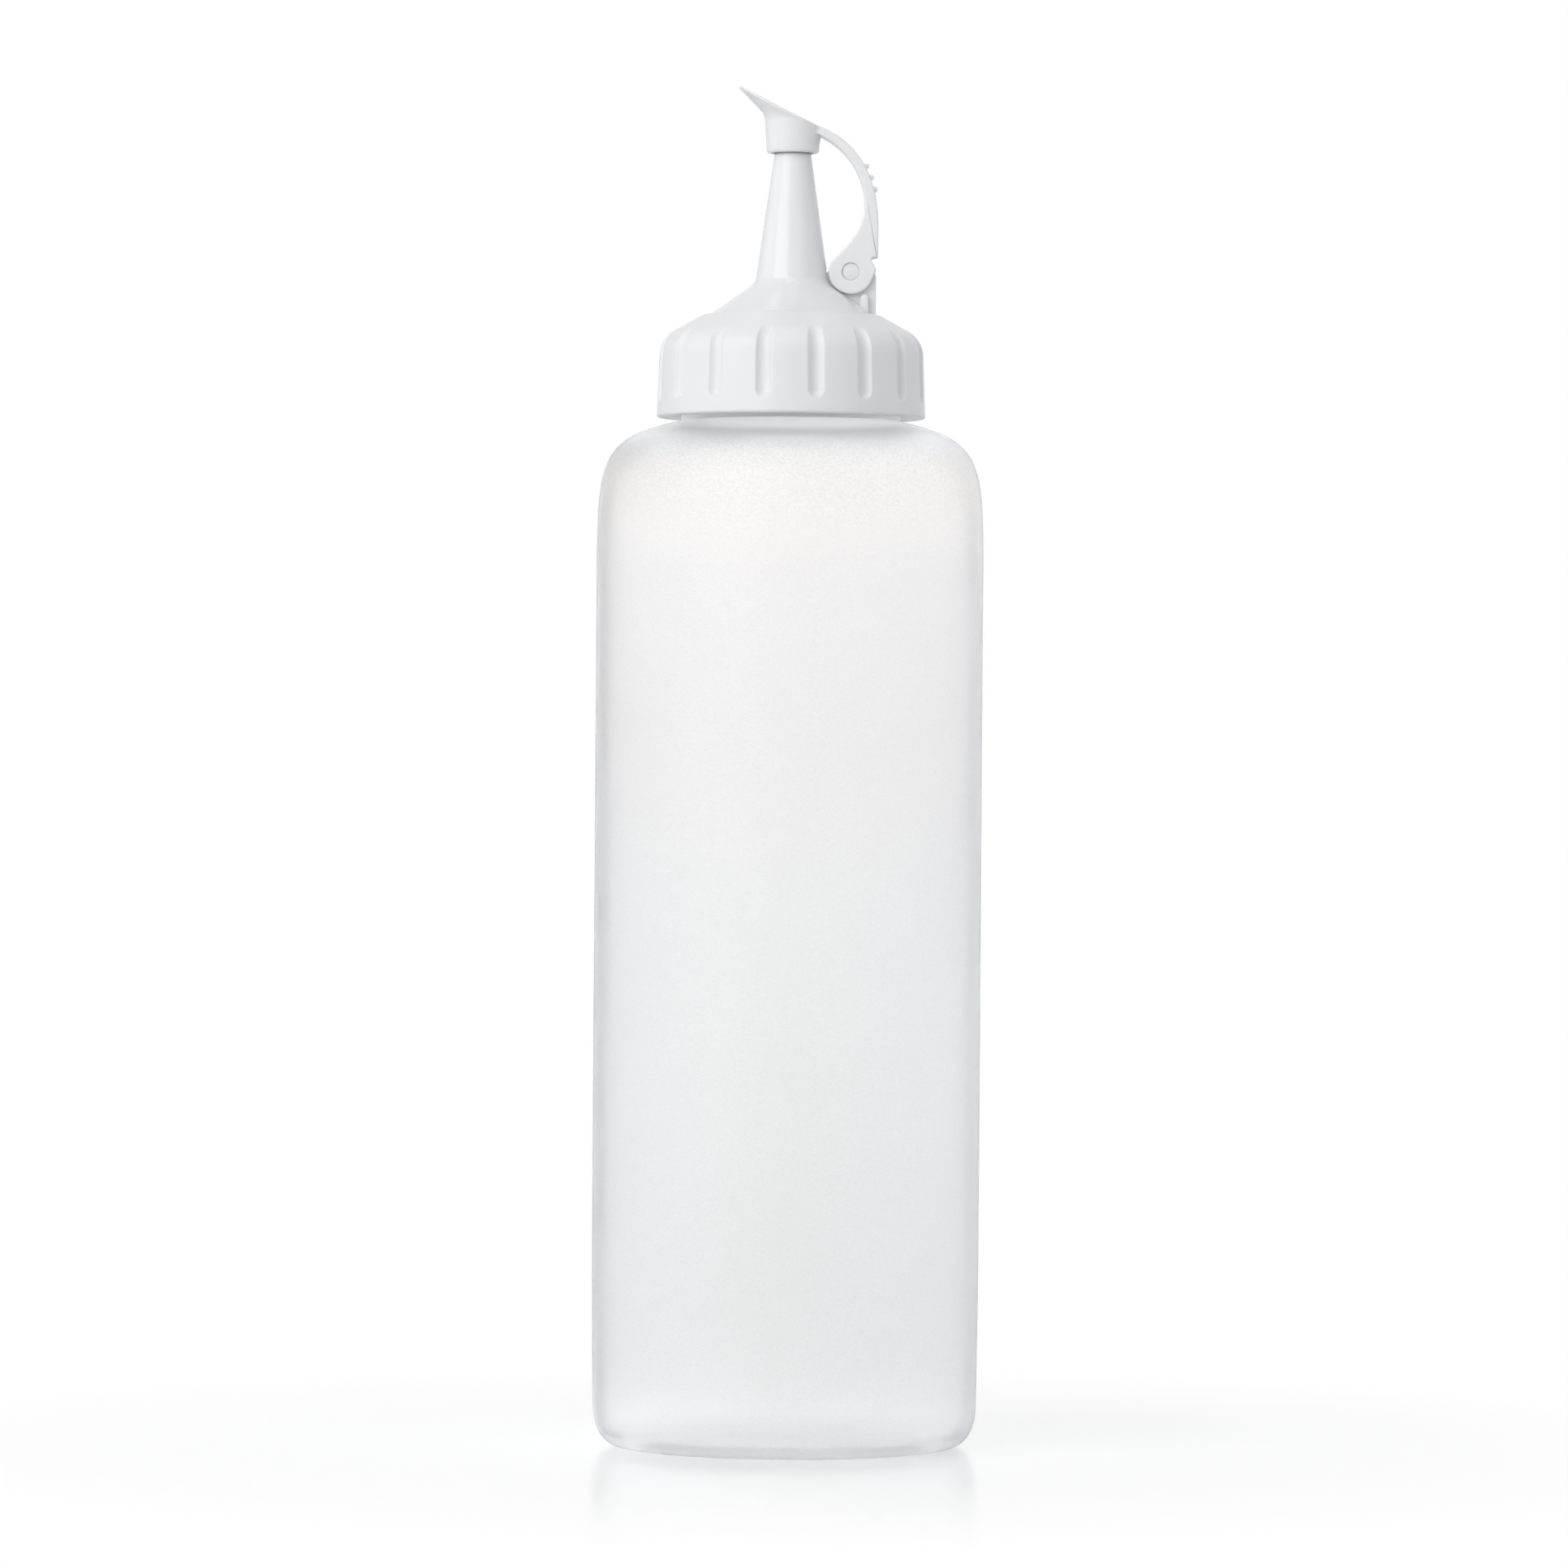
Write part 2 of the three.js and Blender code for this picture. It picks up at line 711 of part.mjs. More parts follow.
// Cutter for one grip groove: a round-ended bar that follows the skirt and the rounding and
// comes up out of the cone
function grooveCutter() {
  const { side, x, z } = collarCrown();
  const radius = (grooveWidth ** 2 / 4 + grooveDepth ** 2) / (2 * grooveDepth);
  const footZ = collarFoot + grooveFootRise + grooveWidth / 2;
  const skirt = collarBore + collarWall;
  const lean = (skirt - side) / (z - collarFoot);
  const floor = radius - grooveDepth;
  const path = [
    new THREE.Vector3(skirt - lean * (footZ - collarFoot) + floor, 0, footZ),
    ...grooveFadeShares.map((share, i) => {
      const angle = degToRad((90 - collarConeDeg) * i / (grooveFadeShares.length - 1));
      const reach = collarRounding + floor + share * grooveDepth;
      return new THREE.Vector3(x + reach * Math.cos(angle), 0, z + reach * Math.sin(angle));
    }),
  ];
  const first = path[0].clone().sub(path[1]).normalize();
  const last = path.at(-1).clone().sub(path.at(-2)).normalize();
  const ringAt = (centre, along, size) => Array.from({ length: grooveSides }, (unused, i) => {
    const angle = fullTurn * (i + 0.5) / grooveSides;
    const out = new THREE.Vector3(along.z, 0, -along.x).multiplyScalar(size * Math.cos(angle));
    return new THREE.Vector3(0, size * Math.sin(angle), 0).add(out).add(centre);
  });
  const domeRings = (centre, along, way) => grooveEndShares.map((share) => ringAt(
    centre.clone().addScaledVector(way, radius * share),
    along,
    radius * Math.sqrt(1 - share ** 2),
  ));
  const up = first.clone().negate();
  const middle = path.map((centre, i) => {
    const before = path[Math.max(i - 1, 0)];
    const after = path[Math.min(i + 1, path.length - 1)];
    return ringAt(centre, after.clone().sub(before).normalize(), radius);
  });
  return lofted([
    ...domeRings(path[0], up, first).reverse(),
    ...middle,
    ...domeRings(path.at(-1), last, last),
  ]);
}

function screwCollar() {
  const { side, x, z } = collarCrown();
  const skirt = collarBore + collarWall;
  const outline = [
    point(collarBore + collarLeadIn, collarFoot),
    point(skirt - collarFootChamfer, collarFoot),
    point(skirt, collarFoot + collarFootChamfer),
    ...arc(x, z, collarRounding, 0, 90 - collarConeDeg, roundingSteps),
    point(openingRadius, collarRim),
    point(openingRadius, ceilingZ),
    point(collarBore, ceilingZ),
    point(collarBore, collarFoot + collarLeadIn),
    point(collarBore + collarLeadIn, collarFoot),
  ];
  const ridge = threadRidge(
    collarBore,
    collarThreadCrest,
    threadPitch - neckRidgeWidth(collarBore) - 2 * flankClearance,
    threadPitch - neckRidgeWidth(collarThreadCrest) - 2 * flankClearance,
    collarThreadTurns,
    -collarThreadLead * fullTurn,
    neckThreadStart - neckHeight + threadPitch * (0.5 - collarThreadLead),
  );
  const groove = grooveCutter();
  const turns = Array.from({ length: grooveCount }, (unused, i) => (
    grooveTurnDeg + (i + 0.5) * 360 / grooveCount
  ));
  return turns
    .reduce((collar, turn) => collar.subtract(groove.rotate([0, 0, turn])), turned(outline, collarSegments))
    .add(ridge);
}

const materials = {
  softBody: new THREE.MeshStandardMaterial({ color: 0xe9ecef, roughness: 0.55, metalness: 0 }),
  collar: new THREE.MeshStandardMaterial({ color: 0xf3f4f5, roughness: 0.4, metalness: 0 }),
  nozzle: new THREE.MeshStandardMaterial({ color: 0xf4f5f7, roughness: 0.2, metalness: 0 }),
  lever: new THREE.MeshStandardMaterial({ color: 0xf4f5f7, roughness: 0.3, metalness: 0 }),
  seal: new THREE.MeshStandardMaterial({ color: 0xd9dde0, roughness: 0.7, metalness: 0 }),
};

function part(name, shape, material) {
  const mesh = new THREE.Mesh(geometryOf(shape), material);
  mesh.name = name;
  return mesh;
}

const flip = new THREE.Group();
flip.position.set(pivotReach, 0, pivotZ);
flip.add(part('flip_cap', flipCap(), materials.lever));

const closure = new THREE.Group();
closure.position.z = bodyHeight + neckHeight;
closure.add(
  part('neck_gasket', neckGasket(), materials.seal),
  part('nozzle_spout', nozzleSpout(), materials.nozzle),
  part('screw_collar', screwCollar(), materials.collar),
  flip,
);

const sauceBottle = new THREE.Group();
sauceBottle.add(part('bottle_body', bottleBody(), materials.softBody), closure);

export default sauceBottle;
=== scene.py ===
"""Squeeze bottle for sauce with a flip cap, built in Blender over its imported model.

Every size is in millimetres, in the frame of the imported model: +Z up, standing on z = 0 with
the bottle's axis on Z. Sizes turn to metres where a mesh, a lamp or a camera is made.
"""

import logging
import math
from dataclasses import dataclass
from enum import Enum

import bmesh
import bpy
import numpy as np
from mathutils import Matrix, Vector


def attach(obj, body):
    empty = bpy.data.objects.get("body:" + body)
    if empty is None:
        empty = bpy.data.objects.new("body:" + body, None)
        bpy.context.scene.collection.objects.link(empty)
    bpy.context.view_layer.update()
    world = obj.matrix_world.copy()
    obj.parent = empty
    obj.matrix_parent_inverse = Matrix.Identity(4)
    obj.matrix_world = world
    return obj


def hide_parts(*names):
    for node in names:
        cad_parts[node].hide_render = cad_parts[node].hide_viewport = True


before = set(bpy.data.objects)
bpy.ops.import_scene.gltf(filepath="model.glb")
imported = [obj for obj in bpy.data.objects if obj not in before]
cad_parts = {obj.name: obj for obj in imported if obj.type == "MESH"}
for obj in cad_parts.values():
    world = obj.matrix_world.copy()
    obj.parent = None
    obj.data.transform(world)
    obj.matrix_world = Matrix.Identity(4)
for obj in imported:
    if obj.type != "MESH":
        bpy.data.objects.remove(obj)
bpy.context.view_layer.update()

Piece = bpy.types.Object
Socket = bpy.types.NodeSocket
Tree = bpy.types.NodeTree

log = logging.getLogger("sauce_bottle")

MM = 0.001
TURN = 2 * math.pi
WHITE = "#FFFFFF"
COOL_WHITE = "#F6FAFF"

# Heights that several pieces share: the neck's lip, the nozzle's flange, dome foot and nose,
# and the hinge's pivot.
LIP = 178.7
FLANGE_BOTTOM = 179.7
FLANGE_TOP = 181.2
DOME_FOOT = 184.75
NOSE_FOOT = 211.35
NOSE_TOP = 212.5
PIVOT_X = 9.61
PIVOT_Z = 192.07

# The thread's pitch, for the neck and the collar alike.
PITCH = 4.233

# Points this close to a wall's radius lie on the wall, and may carry its thread.
ON_WALL = 1e-6


class Join(Enum):
    """How one solid is put to another."""

    ADD = "UNION"
    TAKE = "DIFFERENCE"


class Ends(Enum):
    """How the ends of a row of rings are closed."""

    JOINED = "the last ring joins the first"
    MIDDLE = "each end closes on its own middle"
    FLAT = "each end is one flat face"


# ---- small tools for colour, nodes and outlines


def linear(code: str) -> tuple[float, float, float, float]:
    """Turns an sRGB hex colour to linear RGB with full alpha.

    Args:
        code: Six hex digits after a hash sign.

    Returns:
        Red, green, blue and alpha from 0 to 1.
    """
    shares = (int(code[i:i + 2], 16) / 255 for i in (1, 3, 5))
    red, green, blue = (
        share / 12.92 if share <= 0.04045 else ((share + 0.055) / 1.055) ** 2.4
        for share in shares
    )
    return (red, green, blue, 1.0)


def add_node(
    tree: Tree, kind: str, inputs: dict | None = None, marks: list | None = None,
    **settings: object,
) -> bpy.types.Node:
    """Adds a node with its settings, and fills its inputs with values or links.

    Args:
        tree: Node tree that takes the node.
        kind: Blender's name of the node type.
        inputs: Input name or number to a value, or to the output socket that feeds it.
        marks: Place and linear colour of each mark, for a node with a colour ramp.
        **settings: Properties of the node itself, or of its colour ramp.

    Returns:
        The new node.
    """
    node = tree.nodes.new(kind)
    if marks:
        elements = node.color_ramp.elements
        for position, _ in marks[1:-1]:
            elements.new(position)
        for element, (position, colour) in zip(elements, marks):
            element.position = position
            element.color = colour
    for name, value in settings.items():
        setattr(node.color_ramp if marks else node, name, value)
    for name, value in (inputs or {}).items():
        if isinstance(value, Socket):
            tree.links.new(value, node.inputs[name])
        else:
            node.inputs[name].default_value = value
    return node


def empty_tree(owner: bpy.types.Material | bpy.types.World) -> Tree:
    """Gives a material or a world a node tree with nothing in it.

    Args:
        owner: The material or the world.

    Returns:
        Its empty node tree.
    """
    owner.use_nodes = True
    owner.node_tree.nodes.clear()
    return owner.node_tree


def by_height(
    tree: Tree, place: Socket, low: float, high: float, start: float = 0.0, end: float = 1.0
) -> Socket:
    """Nodes of a value that changes evenly between two heights of a piece.

    Args:
        tree: The material's node tree.
        place: The point on the piece, in metres.
        low: Lower height, in millimetres.
        high: Upper height, in millimetres.
        start: The value at the lower height and below.
        end: The value at the upper height and above.

    Returns:
        The socket that gives the value.
    """
    up = add_node(tree, "ShaderNodeSeparateXYZ", {"Vector": place})
    change = add_node(
        tree, "ShaderNodeMapRange",
        {"Value": up.outputs["Z"], "From Min": low * MM, "From Max": high * MM,
         "To Min": start, "To Max": end},
    )
    return change.outputs["Result"]


def bezier(start: tuple, lead: tuple, trail: tuple, end: tuple, steps: int) -> np.ndarray:
    """Points of a cubic Bezier curve in a plane.

    Args:
        start: First point.
        lead: Handle of the first point.
        trail: Handle of the last point.
        end: Last point.
        steps: Number of steps along the curve.

    Returns:
        The steps + 1 points as rows.
    """
    t = np.linspace(0, 1, steps + 1)[:, None]
    handles = [np.array(p, float) for p in (start, lead, trail, end)]
    weights = ((1 - t) ** 3, 3 * t * (1 - t) ** 2, 3 * t * t * (1 - t), t ** 3)
    return sum(weight * handle for weight, handle in zip(weights, handles))


def arc(x: float, z: float, radius: float, start: float, end: float, steps: int) -> np.ndarray:
    """Points of an arc in a plane, both ends included.

    Args:
        x: Centre across.
        z: Centre up.
        radius: Radius of the arc.
        start: First angle in degrees.
        end: Last angle in degrees.
        steps: Number of steps along the arc.

    Returns:
        The steps + 1 points as rows.
    """
    angles = np.radians(np.linspace(start, end, steps + 1))
    return np.column_stack((x + radius * np.cos(angles), z + radius * np.sin(angles)))


def rounded(points: list, steps: int = 5) -> np.ndarray:
    """Rounds some corners of a line of points, the last one as if the line closed.

    Args:
        points: Place of each corner, and after it the radius that rounds it, if any.
        steps: Number of steps along each round.

    Returns:
        The line's points as rows, with each round's own points in place of its corner.
    """
    corners = [np.array(point[:2], float) for point in points]
    line: list[np.ndarray] = []
    for i, corner in enumerate(corners):
        if len(points[i]) == 2:
            line.append(corner)
            continue
        radius = points[i][2]
        before = corners[i - 1] - corner
        after = corners[(i + 1) % len(corners)] - corner
        before /= np.linalg.norm(before)
        after /= np.linalg.norm(after)
        half = math.acos(float(np.clip(before @ after, -1, 1))) / 2
        middle = before + after
        centre = corner + middle / np.linalg.norm(middle) * radius / math.sin(half)
        first = corner + before * radius / math.tan(half) - centre
        last = corner + after * radius / math.tan(half) - centre
        sweep = math.atan2(first[0] * last[1] - first[1] * last[0], float(first @ last))
        for k in range(steps + 1):
            a = sweep * k / steps
            turn = np.array([[math.cos(a), -math.sin(a)], [math.sin(a), math.cos(a)]])
            line.append(centre + turn @ first)
    return np.array(line)


def moved_left(points: np.ndarray, distance: float, closed: bool = False) -> np.ndarray:
    """Moves a line of points sideways, to the left of the way along it.

    Args:
        points: Points of the line as rows.
        distance: How far it moves; less than zero moves it to the right.
        closed: True if the last point is joined to the first.

    Returns:
        The moved points as rows.
    """
    # A sharp corner moves by the distance over least_match, and no further.
    tiny, least_match = 1e-9, 0.6
    before = np.roll(points, 1, axis=0)
    after = np.roll(points, -1, axis=0)
    if not closed:
        before[0] = 2 * points[0] - points[1]
        after[-1] = 2 * points[-1] - points[-2]
    into = points - before
    out = after - points
    into /= np.maximum(np.linalg.norm(into, axis=1, keepdims=True), tiny)
    out /= np.maximum(np.linalg.norm(out, axis=1, keepdims=True), tiny)
    side = np.column_stack((-(into + out)[:, 1], (into + out)[:, 0]))
    side /= np.maximum(np.linalg.norm(side, axis=1, keepdims=True), tiny)
    across = np.column_stack((-into[:, 1], into[:, 0]))
    stretch = 1 / np.clip((side * across).sum(axis=1, keepdims=True), least_match, 1)
    return points + distance * side * stretch


def evenly(points: np.ndarray, step: float) -> np.ndarray:
    """Adds points along a line so that no step along it is longer than asked.

    Args:
        points: Points of the line as rows.
        step: Longest step between two points.

    Returns:
        The line's own points with the added ones between them.
    """
    line = [points[0]]
    for here, there in zip(points[:-1], points[1:]):
        count = max(1, math.ceil(float(np.linalg.norm(there - here)) / step))
        line.extend(here + (there - here) * k / count for k in range(1, count + 1))
    return np.array(line)


# ---- small tools for meshes


def new_piece(name: str, corners: np.ndarray, faces: list) -> Piece:
    """Makes an object from corners in millimetres, with its faces turned outwards.

    Args:
        name: Name of the piece.
        corners: Corners as rows of x, y and z.
        faces: Each face as a list of corner numbers.

    Returns:
        The new object, linked to the scene.
    """
    mesh = bpy.data.meshes.new(name)
    mesh.from_pydata((corners * MM).tolist(), [], faces)
    shaped = bmesh.new()
    shaped.from_mesh(mesh)
    bmesh.ops.recalc_face_normals(shaped, faces=shaped.faces)
    shaped.to_mesh(mesh)
    shaped.free()
    piece = bpy.data.objects.new(name, mesh)
    bpy.context.scene.collection.objects.link(piece)
    return piece


def skin(name: str, rings: np.ndarray, ends: Ends) -> Piece:
    """Makes a closed skin over rings of equal count.

    Args:
        name: Name of the piece.
        rings: Array of rings, corners on each ring, and x, y and z.
        ends: How its two ends are closed.

    Returns:
        The new object.
    """
    count, sides, _ = rings.shape
    corners = rings.reshape(-1, 3)
    rows = count if ends is Ends.JOINED else count - 1
    row, side = np.meshgrid(np.arange(rows), np.arange(sides), indexing="ij")
    beside, above = (side + 1) % sides, (row + 1) % count
    faces = np.stack(
        (row * sides + side, row * sides + beside, above * sides + beside, above * sides + side),
        axis=-1,
    ).reshape(-1, 4).tolist()
    top = (count - 1) * sides
    if ends is Ends.FLAT:
        faces += [list(range(sides)), [top + k for k in reversed(range(sides))]]
    elif ends is Ends.MIDDLE:
        corners = np.concatenate((corners, [rings[0].mean(axis=0), rings[-1].mean(axis=0)]))
        low, high = count * sides, count * sides + 1
        for k in range(sides):
            beside_k = (k + 1) % sides
            faces += [[low, beside_k, k], [high, top + k, top + beside_k]]
    return new_piece(name, corners, faces)


def turned(
    outline: np.ndarray, angles: np.ndarray, proud: np.ndarray | float = 0.0
) -> np.ndarray:
    """Turns an outline about Z into rings.

    Args:
        outline: Radius and height of each ring as rows.
        angles: Angle of each corner of a ring, in radians.
        proud: How far each corner stands out from the outline's radius, ring by ring.

    Returns:
        The rings, for skin().
    """
    radius = np.broadcast_to(outline[:, :1] + proud, (len(outline), angles.shape[-1]))
    height = np.broadcast_to(outline[:, 1:], radius.shape)
    return np.stack((radius * np.cos(angles), radius * np.sin(angles), height), axis=-1)


def slab(
    name: str, outline: np.ndarray, half_width: float, edge: float, steps: int = 4
) -> Piece:
    """Draws a closed outline in x and z out along y, with rounded edges.

    Args:
        name: Name of the piece.
        outline: Corners of the outline as rows, anticlockwise seen with x right and z up.
        half_width: How far it reaches to each side of y = 0.
        edge: Radius of its edges.
        steps: Number of steps round an edge.

    Returns:
        The new object.
    """
    angles = np.linspace(0, math.pi / 2, steps + 1)
    insets = edge * (1 - np.cos(angles))
    reaches = half_width - edge + edge * np.sin(angles)
    rings = []
    for inset, y in zip([*insets[::-1], *insets], [*-reaches[::-1], *reaches]):
        ring = moved_left(outline, inset, closed=True)
        rings.append(np.column_stack((ring[:, 0], np.full(len(ring), y), ring[:, 1])))
    return skin(name, np.array(rings), Ends.FLAT)


def cross_bar(name: str, radius: float, reach: float, end: tuple, sides: int = 64) -> Piece:
    """Makes a round bar along y on the hinge's pivot, the same to both sides of y = 0.

    Args:
        name: Name of the piece.
        radius: Radius of the bar.
        reach: How far it goes to each side.
        end: Rings of its end, as what each adds to the radius and to the reach.
        sides: Corners of each ring.

    Returns:
        The new object.
    """
    # The two rings in the middle stand this far from y = 0.
    middle = 0.05
    half = np.array([(radius, middle), *((radius + r, reach + y) for r, y in end)])
    both = np.concatenate((half[::-1] * (1, -1), half))
    angles = np.linspace(0, TURN, sides, endpoint=False)
    rings = np.stack(
        (PIVOT_X + both[:, :1] * np.cos(angles), np.repeat(both[:, 1:], sides, axis=1),
         PIVOT_Z + both[:, :1] * np.sin(angles)),
        axis=-1,
    )
    return skin(name, rings, Ends.MIDDLE)


def combine(piece: Piece, tool: Piece, way: Join) -> None:
    """Adds a solid to a piece or takes it away, and deletes that solid.

    Args:
        piece: The piece that changes.
        tool: The solid that is used up.
        way: Whether it is added or taken away.
    """
    change = piece.modifiers.new(way.name, "BOOLEAN")
    change.operation = way.value
    change.solver = "EXACT"
    change.object = tool
    graph = bpy.context.evaluated_depsgraph_get()
    mesh = bpy.data.meshes.new_from_object(piece.evaluated_get(graph))
    piece.modifiers.clear()
    piece.data = mesh
    bpy.data.objects.remove(tool)


def clean_faces(piece: Piece, weld: float) -> None:
    """Cuts large faces to triangles, joins corners that lie on one another, and drops faces
    with no area.

    Args:
        piece: The piece to clean.
        weld: Distance in millimetres under which two corners are one.
    """
    shaped = bmesh.new()
    shaped.from_mesh(piece.data)
    large = [face for face in shaped.faces if len(face.verts) > 4]
    bmesh.ops.triangulate(shaped, faces=large, quad_method="BEAUTY", ngon_method="EAR_CLIP")
    bmesh.ops.remove_doubles(shaped, verts=shaped.verts, dist=weld * MM)
    bmesh.ops.dissolve_degenerate(shaped, edges=shaped.edges, dist=weld * MM)
    shaped.to_mesh(piece.data)
    shaped.free()


def smooth(piece: Piece, crease_deg: float, even: bool = False) -> None:
    """Shades a piece smooth, with creases where it turns sharply.

    Args:
        piece: The piece to shade.
        crease_deg: Angle between two faces from which the edge is a crease.
        even: True to weigh each normal by the size of its faces, which keeps flats flat.
    """
    piece.data.shade_smooth()
    piece.data.set_sharp_from_angle(angle=math.radians(crease_deg))
    if even:
        weighted = piece.modifiers.new("even_normals", "WEIGHTED_NORMAL")
        weighted.keep_sharp = True


@dataclass(frozen=True)
class ScrewRidge:
    """Right-hand screw ridge on a round wall: where it begins, and its section.

    Root and crest are its widths at the wall and on top, depth is how far it stands out, and
    fade is the part of a turn in which each end of it rises.
    """

    start_deg: float
    start_z: float
    turns: float
    crest: float
    root: float = 2.45
    depth: float = 1.35
    fade: float = 0.12

    def height(self, angle: np.ndarray, z: np.ndarray) -> np.ndarray:
        """Height of the ridge over its wall.

        Args:
            angle: Angle of each point round the wall, in radians.
            z: Height of each point.

        Returns:
            The ridge's height at each point, zero away from it.
        """
        height = np.zeros(np.broadcast(angle, z).shape)
        share = ((angle - math.radians(self.start_deg)) / TURN) % 1
        for lap in range(math.ceil(self.turns)):
            run = share + lap
            away = np.abs(z - self.start_z - PITCH * run)
            flank = np.clip((self.root / 2 - away) / ((self.root - self.crest) / 2), 0, 1)
            end = np.clip(np.minimum(run, self.turns - run) / self.fade, 0, 1)
            # The flank is half a straight slope and half a rounded one.
            soft = flank * flank * (3 - 2 * flank) * 0.5 + flank * 0.5
            height = np.maximum(height, self.depth * soft * np.sqrt(end))
        return height


# ---- finishes


@dataclass(frozen=True)
class MouldedPlastic:
    """A moulded polymer: its colour, its gloss and the relief that its mould left.

    Sizes are in millimetres. Grain is the fine relief of the mould's skin, and swell the
    long low waves that a moulding takes as it shrinks. The grain of a polished or sparked
    mould, under 0.1 mm, is too fine to show, so it is drawn as coarse as it needs to be.
    """

    label: str
    colour: str
    cloud: str
    cloud_size: float
    roughness: float
    roughness_spread: float
    ior: float
    grain: float
    grain_height: float
    swell: float
    swell_height: float
    translucency: float
    light_depth: float
    clearness: float = 0.0
    skin: float = 0.0
    skin_ior: float = 1.5
    skin_roughness: float = 0.5

    def tint(self, tree: Tree, place: Socket) -> Socket:
        """Nodes of the colour, which drifts a little over the moulding.

        Args:
            tree: The material's node tree.
            place: The point on the piece, in metres.

        Returns:
            The socket that gives the colour.
        """
        clouds = add_node(
            tree, "ShaderNodeTexNoise",
            {"Vector": place, "Scale": 1 / (self.cloud_size * MM), "Detail": 3.0},
        )
        drift = add_node(
            tree, "ShaderNodeMix",
            {0: clouds.outputs["Fac"], 6: linear(self.colour), 7: linear(self.cloud)},
            data_type="RGBA",
        )
        return drift.outputs[2]

    def relief(self, tree: Tree, place: Socket) -> Socket:
        """Nodes of the fine relief.

        Args:
            tree: The material's node tree.
            place: The point on the piece, in metres.

        Returns:
            The socket that gives the relief from 0 to 1.
        """
        grain = add_node(
            tree, "ShaderNodeTexNoise",
            {"Vector": place, "Scale": 1 / (self.grain * MM), "Detail": 2.0, "Roughness": 0.5},
        )
        return grain.outputs["Fac"]

    def weights(self, tree: Tree, place: Socket) -> tuple:
        """How much of the light goes on through the wall, and how much of a skin it has."""
        return self.clearness, self.skin

    def material(self) -> bpy.types.Material:
        """Builds the finish as a Blender material.

        Returns:
            The material.
        """
        made = bpy.data.materials.new(self.label)
        tree = empty_tree(made)
        place = add_node(tree, "ShaderNodeTexCoord").outputs["Object"]
        patches, waves = (
            add_node(
                tree, "ShaderNodeTexNoise", {"Vector": place, "Scale": scale, "Detail": detail}
            ).outputs["Fac"]
            for scale, detail in ((3 / (self.cloud_size * MM), 4.0), (1 / (self.swell * MM), 1.0))
        )
        # The patches hardly ever leave the range from 0.3 to 0.7.
        gloss = add_node(
            tree, "ShaderNodeMapRange",
            {
                "Value": patches, "From Min": 0.3, "From Max": 0.7,
                "To Min": self.roughness - self.roughness_spread,
                "To Max": self.roughness + self.roughness_spread,
            },
        )
        normal: dict = {}
        for height, depth in (
            (waves, self.swell_height), (self.relief(tree, place), self.grain_height)
        ):
            bumps = add_node(
                tree, "ShaderNodeBump",
                {"Strength": 1.0, "Distance": depth * MM, "Height": height, **normal},
            )
            normal = {"Normal": bumps.outputs["Normal"]}
        clearness, skin_weight = self.weights(tree, place)
        shader = add_node(
            tree, "ShaderNodeBsdfPrincipled",
            {
                "Base Color": self.tint(tree, place),
                "Metallic": 0.0,
                "Roughness": gloss.outputs["Result"],
                "IOR": self.ior,
                "Subsurface Weight": self.translucency,
                "Subsurface Radius": (1.0, 1.0, 1.0),
                "Subsurface Scale": self.light_depth * MM,
                "Transmission Weight": clearness,
                "Coat Weight": skin_weight,
                "Coat IOR": self.skin_ior,
                "Coat Roughness": self.skin_roughness,
                "Coat Normal": normal["Normal"],
                **normal,
            },
        )
        add_node(tree, "ShaderNodeOutputMaterial", {"Surface": shader.outputs["BSDF"]})
        return made


